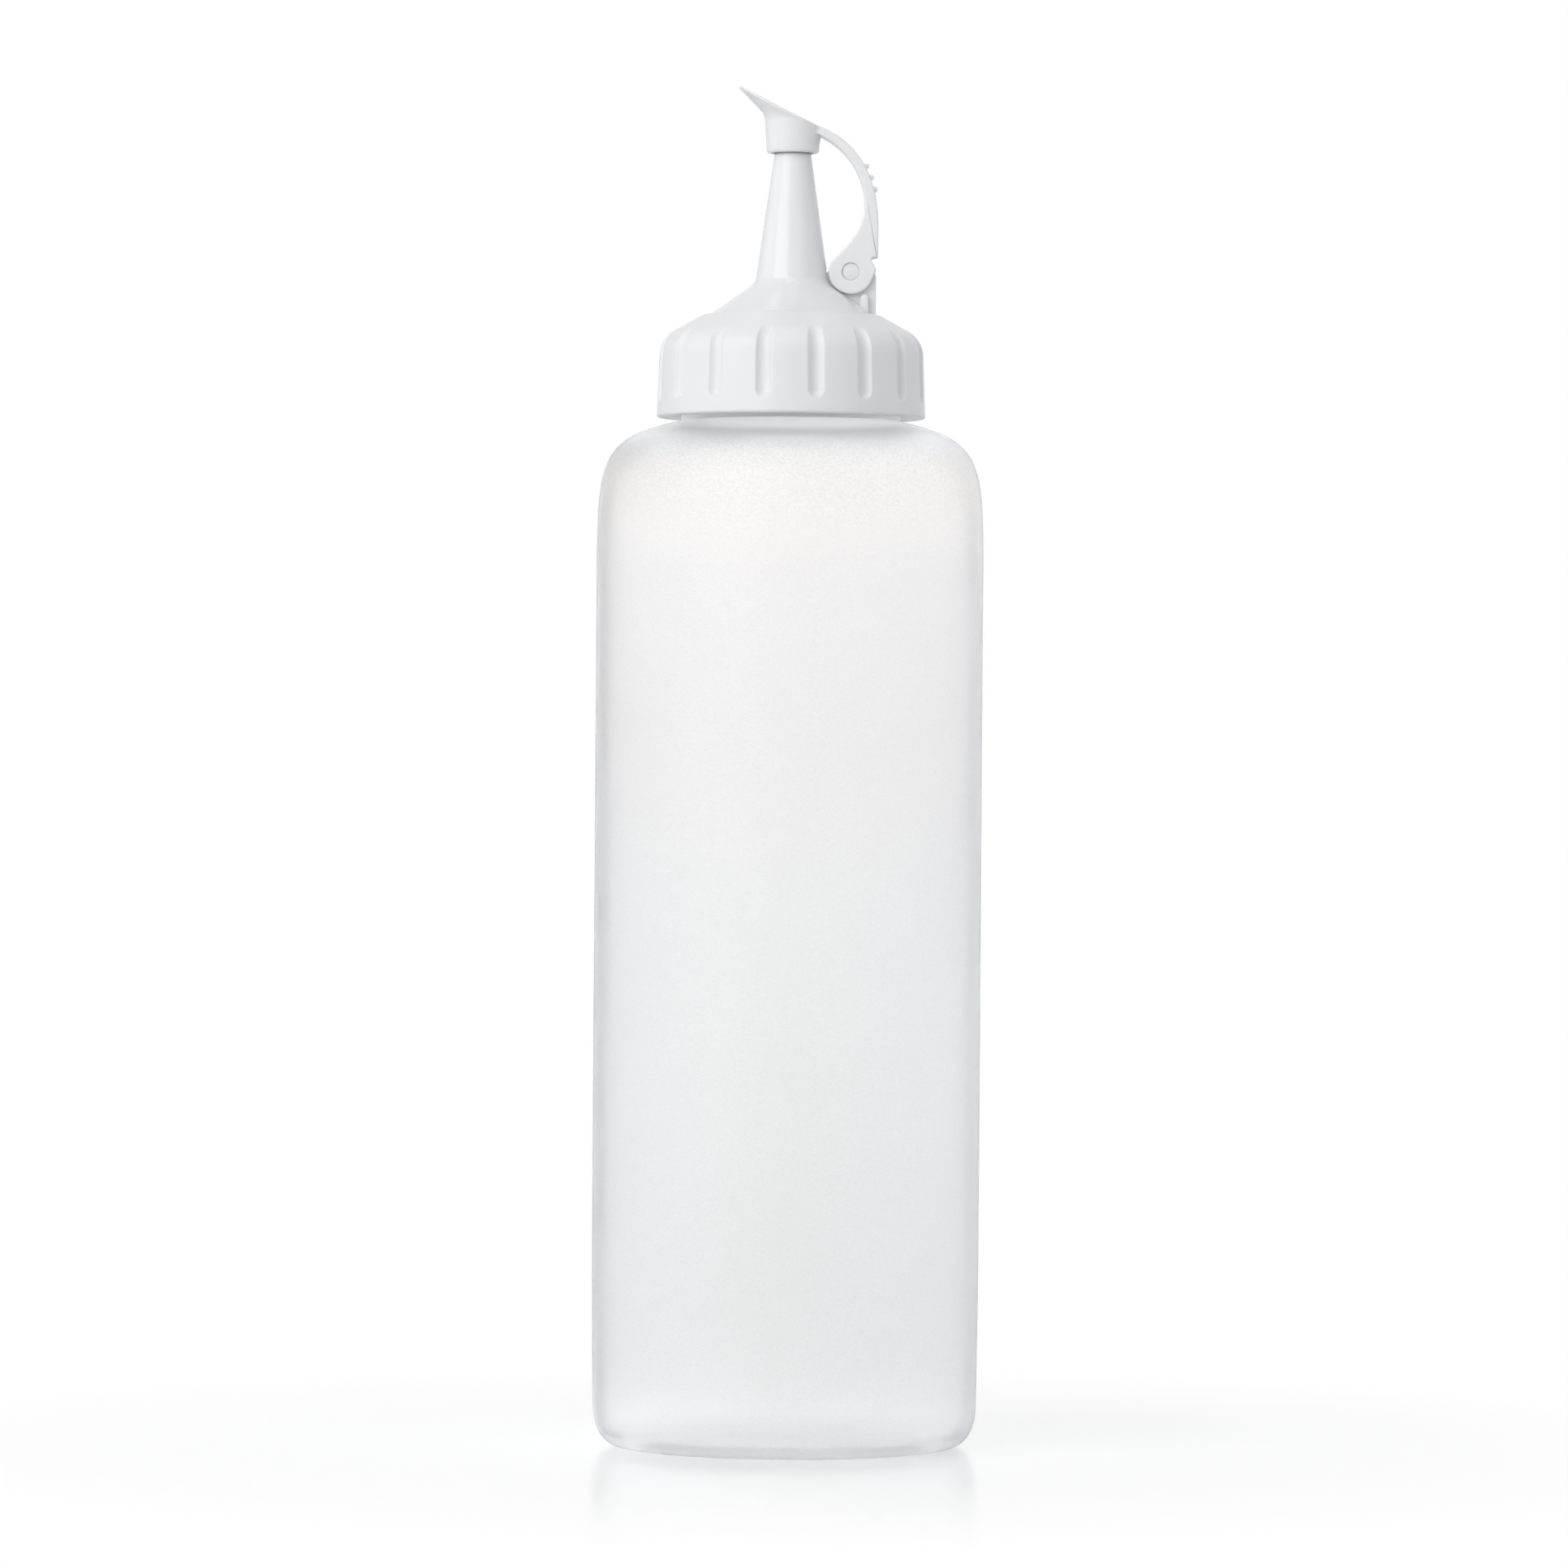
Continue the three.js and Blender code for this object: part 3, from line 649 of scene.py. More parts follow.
@dataclass(frozen=True)
class FrostedPolythene(MouldedPlastic):
    """Blow-moulded LDPE from a blasted mould, whose pebbles print deepest on the shoulder.

    The wall's colour changes with height: lighter at the foot and a little darker up the
    middle of the wall, with a painted highlight on the shoulder, cool painted shade on the
    ring under the neck where it faces up, and painted light on the ring in the collar's shade.
    Each wall colour stands beside its height. The ring just under the neck is bare and clear.
    The pebbles grow from low_z to high_z, and end at bare_z.
    """

    # Colour by height, mostly painted light: a painted highlight at 158 on the shoulder, cool
    # painted shade at 164.3 where the ring under the neck faces up, and white painted light from
    # 167 to 169.2 on the ring in the collar's shade.
    wall_tint_and_painted_light: tuple = (
        (0.0, "#FBFCFD"), (3.0, "#FAFBFC"), (3.8, "#FBFBFB"), (10.0, "#F6F6F6"),
        (24.0, "#F4F4F4"), (64.0, "#F3F3F3"), (90.0, "#F1F1F1"), (117.0, "#F0EFEF"),
        (143.0, "#F1F0F0"), (158.0, "#F7F5F3"), (161.5, "#F0EFEE"), (164.3, "#F0F1F3"),
        (167.0, WHITE), (169.2, WHITE), (171.0, "#F3F3F3"), (200.0, "#F3F3F3"),
    )
    # Painted shade of the pebbles' relief: their hollows darken towards this colour.
    pebble_shade: str = "#EFF0F0"
    pebble_shade_low: float = 0.44
    pebble_shade_high: float = 0.6
    pebble_squash: float = 2.4
    low_z: float = 148.0
    high_z: float = 160.0
    low_share: float = 0.4
    bare_z: float = 163.6
    bare_fade: float = 0.8
    bare_share: float = 0.08
    ring_marks: tuple = (160.0, 167.0, 169.2, 171.0)
    ring_clearness: float = 1.0
    ring_skin: float = 0.2

    def pebbles(self, tree: Tree, place: Socket) -> tuple:
        """Nodes of the pebbles and of how deep they lie.

        Args:
            tree: The material's node tree.
            place: The point on the piece, in metres.

        Returns:
            The sockets of the pebbles from 0 to 1, and of their depth from 0 to 1.
        """
        flat = add_node(
            tree, "ShaderNodeMapping", {"Vector": place, "Scale": (1.0, 1.0, self.pebble_squash)}
        )
        pebbles = add_node(
            tree, "ShaderNodeTexNoise",
            {"Vector": flat.outputs["Vector"], "Scale": 1 / (self.grain * MM), "Detail": 2.0,
             "Roughness": 0.45},
        )
        growth = by_height(tree, place, self.low_z, self.high_z, self.low_share)
        bare = by_height(
            tree, place, self.bare_z - self.bare_fade, self.bare_z + self.bare_fade,
            1.0, self.bare_share,
        )
        depth = add_node(tree, "ShaderNodeMath", {0: growth, 1: bare}, operation="MULTIPLY")
        return pebbles.outputs["Fac"], depth.outputs["Value"]

    def tint(self, tree: Tree, place: Socket) -> Socket:
        """Nodes of the colour, with painted light and shade by height and painted shade in the
        pebbles' hollows.

        Args:
            tree: The material's node tree.
            place: The point on the piece, in metres.

        Returns:
            The socket that gives the colour.
        """
        top = self.wall_tint_and_painted_light[-1][0]
        colour = add_node(
            tree, "ShaderNodeValToRGB", {"Fac": by_height(tree, place, 0.0, top)},
            [(z / top, linear(code)) for z, code in self.wall_tint_and_painted_light], interpolation="LINEAR",
        ).outputs["Color"]
        pebbles, depth = self.pebbles(tree, place)
        # Painted shade: the pebbles' hollows are darkened, standing in for the light and shade of
        # their relief.
        hollow = add_node(
            tree, "ShaderNodeMapRange",
            {"Value": pebbles, "From Min": self.pebble_shade_low, "From Max": self.pebble_shade_high},
        )
        share = add_node(
            tree, "ShaderNodeMath", {0: hollow.outputs["Result"], 1: depth}, operation="MULTIPLY"
        )
        for weight, layer in (
            (1.0, super().tint(tree, place)), (share.outputs["Value"], linear(self.pebble_shade))
        ):
            colour = add_node(
                tree, "ShaderNodeMix", {0: weight, 6: colour, 7: layer},
                data_type="RGBA", blend_type="MULTIPLY",
            ).outputs[2]
        return colour

    def weights(self, tree: Tree, place: Socket) -> tuple:
        """Nodes of the wall's clearness and skin. The ring under the neck is clearer and has
        less of a skin, and the neck above it is as the wall is.

        Args:
            tree: The material's node tree.
            place: The point on the piece, in metres.

        Returns:
            The sockets of the transmission weight and of the coat weight.
        """
        low, high = self.ring_marks[0], self.ring_marks[-1]
        rise = by_height(tree, place, low, high)
        clear, skinned = (
            add_node(
                tree, "ShaderNodeValToRGB", {"Fac": rise},
                [((z - low) / (high - low), (v, v, v, 1.0))
                 for z, v in zip(self.ring_marks, (wall, ring, ring, wall))],
                interpolation="LINEAR",
            ).outputs["Color"]
            for wall, ring in (
                (self.clearness, self.ring_clearness), (self.skin, self.ring_skin)
            )
        )
        return clear, skinned

    def relief(self, tree: Tree, place: Socket) -> Socket:
        """Nodes of the pebbles' relief.

        Args:
            tree: The material's node tree.
            place: The point on the piece, in metres.

        Returns:
            The socket that gives the relief from 0 to 1.
        """
        pebbles, depth = self.pebbles(tree, place)
        relief = add_node(tree, "ShaderNodeMath", {0: pebbles, 1: depth}, operation="MULTIPLY")
        return relief.outputs["Value"]


# Low-density polythene, natural white, blow moulded in a blasted mould. Most of the light
# goes on through the thin hazy wall almost unbent, so its own IOR is near 1 and the hollow
# body glows evenly from behind while its edges turn a cool grey. The pebbled skin, with the
# polymer's real IOR, breaks every reflection up.
FROSTED_LDPE = FrostedPolythene(
    label="blow_moulded_frosted_ldpe",
    colour=WHITE, cloud="#FCFCFC", cloud_size=38.0,
    roughness=0.55, roughness_spread=0.04, ior=1.08,
    grain=0.45, grain_height=0.09, swell=14.0, swell_height=0.05,
    translucency=0.0, light_depth=1.2, clearness=0.85,
    skin=1.0, skin_ior=1.51, skin_roughness=0.5,
)

# Polypropylene, injection moulded in a polished mould: an even white with a clear sheen that
# picks up its neighbours.
GLOSS_PP = MouldedPlastic(
    label="moulded_gloss_polypropylene",
    colour="#F2F3F5", cloud="#EDEEF1", cloud_size=17.0,
    roughness=0.17, roughness_spread=0.03, ior=1.49,
    grain=0.35, grain_height=0.0012, swell=6.0, swell_height=0.012,
    translucency=0.35, light_depth=0.8,
)

# The same polymer from a mould with a fine spark finish: light spreads over the grips with no
# hard reflection.
SATIN_PP = MouldedPlastic(
    label="moulded_satin_polypropylene",
    colour="#F1F2F4", cloud="#ECEDF0", cloud_size=20.0,
    roughness=0.38, roughness_spread=0.04, ior=1.49,
    grain=0.22, grain_height=0.006, swell=8.0, swell_height=0.012,
    translucency=0.3, light_depth=0.9,
)

# The same polymer from a polished mould, dulled a little by handling.
LEVER_PP = MouldedPlastic(
    label="moulded_lever_polypropylene",
    colour="#F2F3F5", cloud="#EEEFF2", cloud_size=12.0,
    roughness=0.25, roughness_spread=0.04, ior=1.49,
    grain=0.3, grain_height=0.002, swell=5.0, swell_height=0.012,
    translucency=0.4, light_depth=0.9,
)

# Silicone sheet, pressed and cut: dull, grey white and slightly waxy.
SEAL_SILICONE = MouldedPlastic(
    label="pressed_silicone_seal",
    colour="#D6DADE", cloud="#CCD1D6", cloud_size=9.0,
    roughness=0.62, roughness_spread=0.05, ior=1.41,
    grain=0.18, grain_height=0.008, swell=4.0, swell_height=0.01,
    translucency=0.3, light_depth=0.7,
)


def dress(piece: Piece, body: str, node: str, finish: MouldedPlastic) -> None:
    """Gives a piece its finish, puts it on the body that it rides on, and hides the node
    of the imported model that it stands for.

    Args:
        piece: The piece.
        body: Body of the frame that it moves with.
        node: Node of the imported model that it stands for, which is hidden.
        finish: Its finish.
    """
    piece.data.materials.clear()
    piece.data.materials.append(finish.material())
    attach(piece, body)
    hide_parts(node)
    log.info("%s: %d faces, rides on %s", piece.name, len(piece.data.polygons), body)


def dress_node(name: str, finish: MouldedPlastic) -> None:
    """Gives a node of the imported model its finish, and leaves its shape alone.

    Args:
        name: Name of the node.
        finish: Its finish.
    """
    made = finish.material()
    for material_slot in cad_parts[name].material_slots:
        material_slot.link = "OBJECT"
        material_slot.material = made
    log.info("%s: kept from the packed model", name)


# ---- sub-assemblies


@dataclass
class SqueezeBody:
    """Blow-moulded body with its shoulder, neck, screw ridge and pushed-up base."""

    radius: float = 31.65
    seam: float = 0.05
    seam_width: float = 0.22
    seam_marks: tuple = (-2.2, -1.3, -0.8, -0.4, 0, 0.4, 0.8, 1.3, 2.2)
    seam_clear: float = 1.2
    wall: float = 1.1
    ring_out: float = 26.0
    ring_in: float = 23.6
    ring_round: float = 1.2
    heel_draft: float = 0.25
    heel_draft_top: float = 42.0
    corner_height: float = 8.0
    corner_power: float = 2.55
    push_up: float = 2.2
    push_up_slope: float = 3.6
    push_up_round: float = 3.0
    middle: float = 1.0
    floor_mark: float = 12.0
    cavity_foot: float = 2.0
    shoulder_foot: float = 142.0
    shoulder_lead_z: float = 161.53
    shoulder_trail: tuple = (31.38, 164.69)
    throat_marks: tuple = (174.0, 170.0)
    neck_radius: float = 17.3
    neck_wall: float = 1.7
    bead_radius: float = 18.1
    bead_foot: float = 167.57
    bead_top: float = 168.6
    bead_round: float = 0.3
    bead_fillet: float = 0.15
    bead_clear: float = 0.4
    lip_round: float = 0.4
    thread: ScrewRidge = ScrewRidge(start_deg=0.0, start_z=170.774, turns=1.4, crest=1.3)
    sides: int = 240

    def outside(self) -> np.ndarray:
        """Outer line of the wall, from the base's middle up to the neck's bead.

        Returns:
            Radius and height of its points as rows.
        """
        skin_radius = self.radius - self.seam
        base = rounded(
            [(self.middle, self.push_up),
             (self.ring_in - self.push_up_slope, self.push_up, self.push_up_round),
             (self.ring_in, 0.0, self.ring_round), (self.ring_out, 0.0)],
            steps=7,
        )
        heel_radius = skin_radius - self.heel_draft
        angles = np.linspace(-math.pi / 2, 0, num=25)
        power = 2 / self.corner_power
        reach = self.ring_out + (heel_radius - self.ring_out) * np.cos(angles) ** power
        rise = self.corner_height * (1 - (-np.sin(angles)).clip(0) ** power)
        corner = np.column_stack((reach, rise))
        heights = np.linspace(self.corner_height, self.shoulder_foot, num=33)[1:]
        share = (heights - self.corner_height) / (self.heel_draft_top - self.corner_height)
        share = np.clip(share, 0, 1)
        wall = np.column_stack((heel_radius + self.heel_draft * share * (2 - share), heights))
        shoulder = bezier(
            (skin_radius, self.shoulder_foot), (skin_radius, self.shoulder_lead_z),
            self.shoulder_trail, (self.bead_radius, self.bead_foot), steps=44,
        )
        return np.concatenate((evenly(base, step=2.2), corner[1:], wall, shoulder[1:]))

    def outline(self) -> np.ndarray:
        """Line of the whole wall, outside from the base and back inside.

        Returns:
            Radius and height of its points as rows.
        """
        outside = self.outside()
        top = LIP - self.lip_round
        foot = self.bead_top + self.bead_clear
        bead = rounded(
            [(self.bead_radius, self.bead_foot), (self.bead_radius, self.bead_top, self.bead_round),
             (self.neck_radius, self.bead_top, self.bead_fillet), (self.neck_radius, foot)],
            steps=4,
        )[1:]
        rows = np.linspace(foot, top, num=56)[1:]
        neck = np.column_stack((np.full(len(rows), self.neck_radius), rows))
        mouth = self.neck_radius - self.neck_wall
        lip = np.concatenate((
            arc(self.neck_radius - self.lip_round, top, self.lip_round, 0, 90, steps=4)[1:],
            [((self.neck_radius + mouth) / 2, LIP)],
            arc(mouth + self.lip_round, top, self.lip_round, 90, 180, steps=4),
        ))
        inside = moved_left(outside, self.wall)
        kept = (
            (inside[:, 0] > mouth) & (inside[:, 1] > self.cavity_foot)
            & (outside[:, 0] > self.ring_in)
        )
        cavity = inside[kept][::-1]
        throat = np.array([(mouth, z) for z in (*self.throat_marks, float(cavity[0, 1]))])
        floor_z = self.push_up + self.wall
        floor = [
            (r, floor_z) for r in (self.ring_in - self.push_up_slope, self.floor_mark, self.middle)
        ]
        return np.concatenate((outside, bead, neck, lip, throat, cavity, floor))

    def angles(self) -> np.ndarray:
        """Angles round the body, close together at the two seams on the x axis.

        Returns:
            The angles in radians, in order.
        """
        even = np.linspace(0, TURN, self.sides, endpoint=False)
        near = np.array(self.seam_marks) * self.seam_width / self.radius
        off_seam = np.abs((even + math.pi / 2) % math.pi - math.pi / 2)
        clear = off_seam > near[-1] * self.seam_clear
        return np.sort(np.concatenate((even[clear], near % TURN, near + math.pi)))

    def build(self) -> None:
        """Builds the body with its finish and hands it to the frame."""
        outline = self.outline()
        angles = self.angles()
        z = outline[:, 1:]
        across = (angles[None, :] + math.pi / 2) % math.pi - math.pi / 2
        far = np.abs(across) * outline[:, :1] / self.seam_width
        outer = np.arange(len(outline))[:, None] < len(self.outside())
        proud = np.where(outer, self.seam * np.exp(-far * far), 0.0)
        on_neck = (np.abs(outline[:, :1] - self.neck_radius) < ON_WALL) & (z > self.bead_top)
        proud = np.where(on_neck, self.thread.height(angles[None, :], z), proud)
        piece = skin("bottle_body_skin", turned(outline, angles, proud), Ends.MIDDLE)
        smooth(piece, crease_deg=50)
        dress(piece, "bottle", "bottle_body", FROSTED_LDPE)


@dataclass
class ScrewCollar:
    """Screw ring with sixteen scooped grips, an opening on top and a ridge inside."""

    bore: float = 18.95
    bore_head: float = 1.0
    bore_round: float = 0.5
    foot_radius: float = 21.95
    side_radius: float = 21.6
    foot: float = 168.15
    rim: float = 185.2
    ceiling: float = 181.4
    opening: float = 14.1
    opening_round: float = 0.15
    cone_deg: float = 29.5
    cone_marks: tuple = (0.03, 0.07, 0.12, 0.18, 0.3, 0.5, 0.75)
    rounding: float = 4.6
    foot_round: float = 0.4
    rim_round: float = 0.4
    lead_in: float = 0.7
    grips: int = 16
    grip_width: float = 2.6
    grip_depth: float = 0.9
    grip_foot: float = 2.45
    grip_turn_deg: float = -0.7
    grip_lift: float = 0.85
    grip_lift_power: float = 2.1
    most_lift: float = 1.2
    grip_marks: tuple = (0, 0.25, 0.5, 0.75, 0.95, 1.08, 1.18, 1.26, 1.33, 1.42, 1.55, 1.8)
    land_marks: tuple = (0.2, 0.4, 0.6, 0.8)
    lip_softness: float = 0.13
    lip_end: float = 0.45
    thread: ScrewRidge = ScrewRidge(start_deg=-216.0, start_z=170.35, turns=1.6, crest=1.222)
    thread_end: float = 0.6

    def outside(self) -> tuple[np.ndarray, np.ndarray]:
        """Outer line of the collar.

        Returns:
            Radius and height from the foot up to the opening, and how far each point is
            along the round from its start, as a share of the round's length.
        """
        normal = 90 - self.cone_deg
        x = self.side_radius - self.rounding
        meet = x + self.rounding * math.cos(math.radians(normal))
        meet_z = self.rim - math.tan(math.radians(self.cone_deg)) * (meet - self.opening)
        z = meet_z - self.rounding * math.sin(math.radians(normal))
        foot = arc(
            self.foot_radius - self.foot_round, self.foot + self.foot_round,
            self.foot_round, -90, 0, steps=4,
        )
        # Rows are close together where the grips begin, and wide apart below and above.
        heights = np.concatenate((
            np.linspace(self.foot + 0.7, self.foot + self.grip_foot - 0.3, num=5),
            np.linspace(self.foot + self.grip_foot - 0.1, self.foot + 4.6, num=18),
            np.linspace(self.foot + 5.0, z, num=9)[:-1],
        ))
        share = (heights - self.foot) / (z - self.foot)
        radii = self.foot_radius + (self.side_radius - self.foot_radius) * share
        round_line = arc(x, z, self.rounding, 0, normal, steps=26)
        start = round_line[-1]
        edge = np.array((self.opening, self.rim))
        cone = start + (edge - start) * np.array(self.cone_marks)[:, None]
        line = np.concatenate((foot, np.column_stack((radii, heights)), round_line, cone))
        length = self.rounding * math.radians(normal)
        along = np.zeros(len(line))
        first = len(foot) + len(heights)
        along[first:first + len(round_line)] = np.linspace(0, 1, len(round_line))
        past = np.linalg.norm(cone - start, axis=1)
        along[first + len(round_line):] = 1 + past / length
        return line, along

    def grip_cut(self, lateral: np.ndarray, line: np.ndarray, along: np.ndarray) -> np.ndarray:
        """Depth of the scooped grips under the collar's outer line.

        Args:
            lateral: Distance of each point from the middle of its grip, ring by ring.
            line: Radius and height of each ring.
            along: Share along the round of each ring.

        Returns:
            The depth at each point, zero between the grips.
        """
        depth = self.grip_depth
        radius = (self.grip_width ** 2 / 4 + depth ** 2) / (2 * depth)
        end = self.foot + self.grip_foot + self.grip_width / 2
        below = np.clip(end - line[:, 1:], 0, None)
        lift = self.grip_lift * along ** self.grip_lift_power
        lift = np.clip(lift, 0, self.most_lift)[:, None] * depth
        inner = np.sqrt(np.clip(radius ** 2 - lateral ** 2 - below ** 2, 0, None))
        cut = inner - (radius - depth) - lift
        softened = (cut + np.sqrt(cut * cut + self.lip_softness ** 2)) / 2
        return softened * (cut > -self.lip_end)

    def rings(self) -> np.ndarray:
        """Rings of the whole collar, outside from the foot and back down the bore.

        Returns:
            The rings, for skin().
        """
        line, along = self.outside()
        bore_top = self.ceiling - self.bore_head
        rim = rounded(
            [line[-1], (self.opening, self.rim, self.rim_round),
             (self.opening, self.ceiling, self.opening_round),
             (self.bore, self.ceiling, self.bore_round), (self.bore, bore_top)],
            steps=4,
        )[1:]
        rows = np.linspace(bore_top, self.foot + self.lead_in, num=80)[1:]
        bore = np.column_stack((np.full(len(rows), self.bore), rows))
        outline = np.concatenate((
            line, evenly(rim, step=1.0), bore, [(self.bore + self.lead_in, self.foot)],
        ))
        near = np.array(self.grip_marks)
        near = np.concatenate((-near[:0:-1], near))
        radius, z = outline[:, :1], outline[:, 1:]
        half = math.pi / self.grips
        gap = 2 * half - 2 * near[-1] / radius
        land = near[-1] / radius + gap * np.array(self.land_marks)
        sector = np.concatenate((near / radius, land), axis=1)
        starts = half + np.arange(self.grips) * 2 * half + math.radians(self.grip_turn_deg)
        angles = (starts[None, :, None] + sector[:, None, :]).reshape(len(outline), -1)
        lateral = np.sin(sector) * radius
        lateral[:, len(near):] = self.grip_width * 2
        lateral = np.tile(lateral, (1, self.grips))
        cut = np.zeros_like(angles)
        cut[:len(line)] = self.grip_cut(lateral[:len(line)], line, along)
        way = np.gradient(outline, axis=0)
        way /= np.linalg.norm(way, axis=1, keepdims=True)
        on_bore = (np.abs(radius - self.bore) < ON_WALL) & (z < self.ceiling - self.thread_end)
        thread = np.where(on_bore, self.thread.height(angles, z), 0)
        reach = radius - cut * way[:, 1:] - thread
        height = z + cut * way[:, :1]
        return np.stack((reach * np.cos(angles), reach * np.sin(angles), height), axis=-1)

    def build(self) -> None:
        """Builds the collar with its finish and hands it to the frame."""
        piece = skin("screw_collar_skin", self.rings(), Ends.JOINED)
        smooth(piece, crease_deg=40)
        dress(piece, "collar", "screw_collar", SATIN_PP)


@dataclass
class PouringNozzle:
    """Nozzle with its plug, flange, dome, spout, hinge post, trunnions and stop pegs."""

    plug: float = 15.3
    plug_wall: float = 1.2
    plug_foot: float = 176.5
    plug_lead: float = 0.4
    plug_round: float = 0.2
    flange: float = 17.2
    flange_round: float = 0.15
    boss: float = 13.8
    boss_wall: float = 1.5
    boss_fillet: float = 0.3
    boss_round: float = 0.35
    boss_hollow_round: float = 0.8
    dome_deg: float = 35.1
    dome_wall: float = 1.4
    taper_deg: float = 8.1
    spout_wall: float = 1.25
    fillet: float = 2.5
    nose_radius: float = 3.01
    nose_foot_round: float = 0.55
    nose_round: float = 0.3
    nose_tip: float = 1.35
    orifice: float = 0.9
    orifice_depth: float = 2.2
    throat_round: float = 0.5
    core_inset: float = 0.7
    core_spout_inset: float = 0.6
    core_middle: float = 0.4
    core_drop: float = 1.5
    core_head_drop: float = 2.0
    pin: float = 1.41
    pin_reach: float = 2.3
    pin_end: tuple = ((0, -0.15), (-0.03, -0.05), (-0.14, 0))
    post_half_width: float = 1.2
    post_foot: float = 1.8
    post_head: float = 2.7
    post_rise: float = 0.35
    post_corner: float = 1.2
    post_edge: float = 0.22
    gusset: float = 4.2
    gusset_deg: float = 135.0
    post_reach: float = 13.75
    peg_reach: float = 2.24
    peg_drop: float = 3.7
    peg_top: float = 0.62
    peg_lean_deg: float = 10.0
    peg_foot: float = 0.72
    peg_root: float = 1.2
    peg_foot_round: float = 0.4
    peg_toe: float = 0.68
    peg_toe_rise: float = 0.9
    peg_toe_slope: float = 0.2
    peg_toe_round: float = 0.5
    peg_half_width: float = 2.5
    peg_edge: float = 0.2
    relief: float = 4.0
    relief_half_width: float = 2.95
    relief_end: tuple = ((0, -0.3), (-0.09, -0.1), (-0.3, 0))
    weld: float = 0.002
    sides: int = 224

    def corner(self, dome_inset: float, spout_inset: float) -> tuple:
        """Corner where the dome's line meets the spout's, both drawn in by a wall.

        Args:
            dome_inset: How far the dome's line is drawn in.
            spout_inset: How far the spout's line is drawn in.

        Returns:
            Radius and height of the corner, and the spout's radius at the nose's foot.
        """
        slope = math.tan(math.radians(self.dome_deg))
        taper = math.tan(math.radians(self.taper_deg))
        drop = dome_inset / math.cos(math.radians(self.dome_deg))
        top = self.nose_radius - spout_inset / math.cos(math.radians(self.taper_deg))
        at_axis = DOME_FOOT - drop + self.boss * slope
        radius = (top + (NOSE_FOOT - at_axis) * taper) / (1 - slope * taper)
        return radius, at_axis - radius * slope, top

    def wall_outline(self) -> np.ndarray:
        """Line of the whole wall, outside up to the nose and back inside.

        Returns:
            Radius and height of its points as rows.
        """
        corner_r, corner_z, top_r = self.corner(0, 0)
        outside = rounded(
            [(self.plug - self.plug_lead, self.plug_foot),
             (self.plug, self.plug_foot + self.plug_lead), (self.plug, FLANGE_BOTTOM),
             (self.flange, FLANGE_BOTTOM, self.flange_round),
             (self.flange, FLANGE_TOP, self.flange_round),
             (self.boss, FLANGE_TOP, self.boss_fillet), (self.boss, DOME_FOOT, self.boss_round),
             (corner_r, corner_z, self.fillet), (top_r, NOSE_FOOT, self.nose_foot_round),
             (self.nose_tip, NOSE_TOP, self.nose_round), (self.orifice, NOSE_TOP)],
            steps=7,
        )
        inner_r, inner_z, inner_top = self.corner(self.dome_wall, self.spout_wall)
        slope = math.tan(math.radians(self.dome_deg))
        drop = self.dome_wall / math.cos(math.radians(self.dome_deg))
        boss_in, boss_in_z = self.boss - self.boss_wall, DOME_FOOT - drop + self.boss_wall * slope
        plug_in = self.plug - self.plug_wall
        throat = NOSE_TOP - self.orifice_depth
        taper = math.tan(math.radians(self.taper_deg))
        throat_r = inner_top + (NOSE_FOOT - throat + self.spout_wall) * taper
        inside = rounded(
            [(self.orifice, NOSE_TOP), (self.orifice, throat),
             (throat_r, throat - self.spout_wall, self.throat_round),
             (inner_r, inner_z, self.fillet + self.dome_wall),
             (boss_in, boss_in_z, self.boss_hollow_round), (boss_in, FLANGE_BOTTOM),
             (plug_in, FLANGE_BOTTOM, self.plug_round), (plug_in, self.plug_foot, self.plug_round),
             (self.plug - self.plug_lead, self.plug_foot)],
            steps=5,
        )
        return evenly(np.concatenate((outside, inside[1:-1])), step=1.1)

    def core(self) -> Piece:
        """Makes a solid that fills the hollow out to the middle of the wall.

        Returns:
            The solid.
        """
        corner_r, corner_z, top_r = self.corner(self.core_inset, self.core_spout_inset)
        side, foot = self.boss - self.core_inset, FLANGE_TOP - self.core_drop
        head = NOSE_FOOT - self.core_head_drop
        outline = np.array([
            (self.core_middle, foot), (side, foot), (side, DOME_FOOT - self.core_inset),
            (corner_r, corner_z), (top_r, head), (self.core_middle, head),
        ])
        angles = np.linspace(0, TURN, num=64, endpoint=False)
        return skin("core", turned(outline, angles), Ends.MIDDLE)

    def post(self) -> Piece:
        """Makes the hinge post: a round head, a rounded outer corner, a gusset to the spout.

        Returns:
            The post.
        """
        foot = FLANGE_TOP + self.post_foot
        head_end = math.degrees(math.asin(self.post_rise / self.post_head))
        head = arc(PIVOT_X, PIVOT_Z, self.post_head, head_end, self.gusset_deg, steps=16)
        fall = self.gusset - self.post_head * math.sqrt(2)
        corner = rounded(
            [(self.post_reach, foot),
             (self.post_reach, PIVOT_Z + self.post_rise, self.post_corner), head[0]],
            steps=7,
        )[:-1]
        outline = np.concatenate((
            [(PIVOT_X - self.gusset, foot)], corner, head,
            [(PIVOT_X - self.gusset, PIVOT_Z - fall)],
        ))
        return slab("post", evenly(outline, step=0.8), self.post_half_width, self.post_edge)

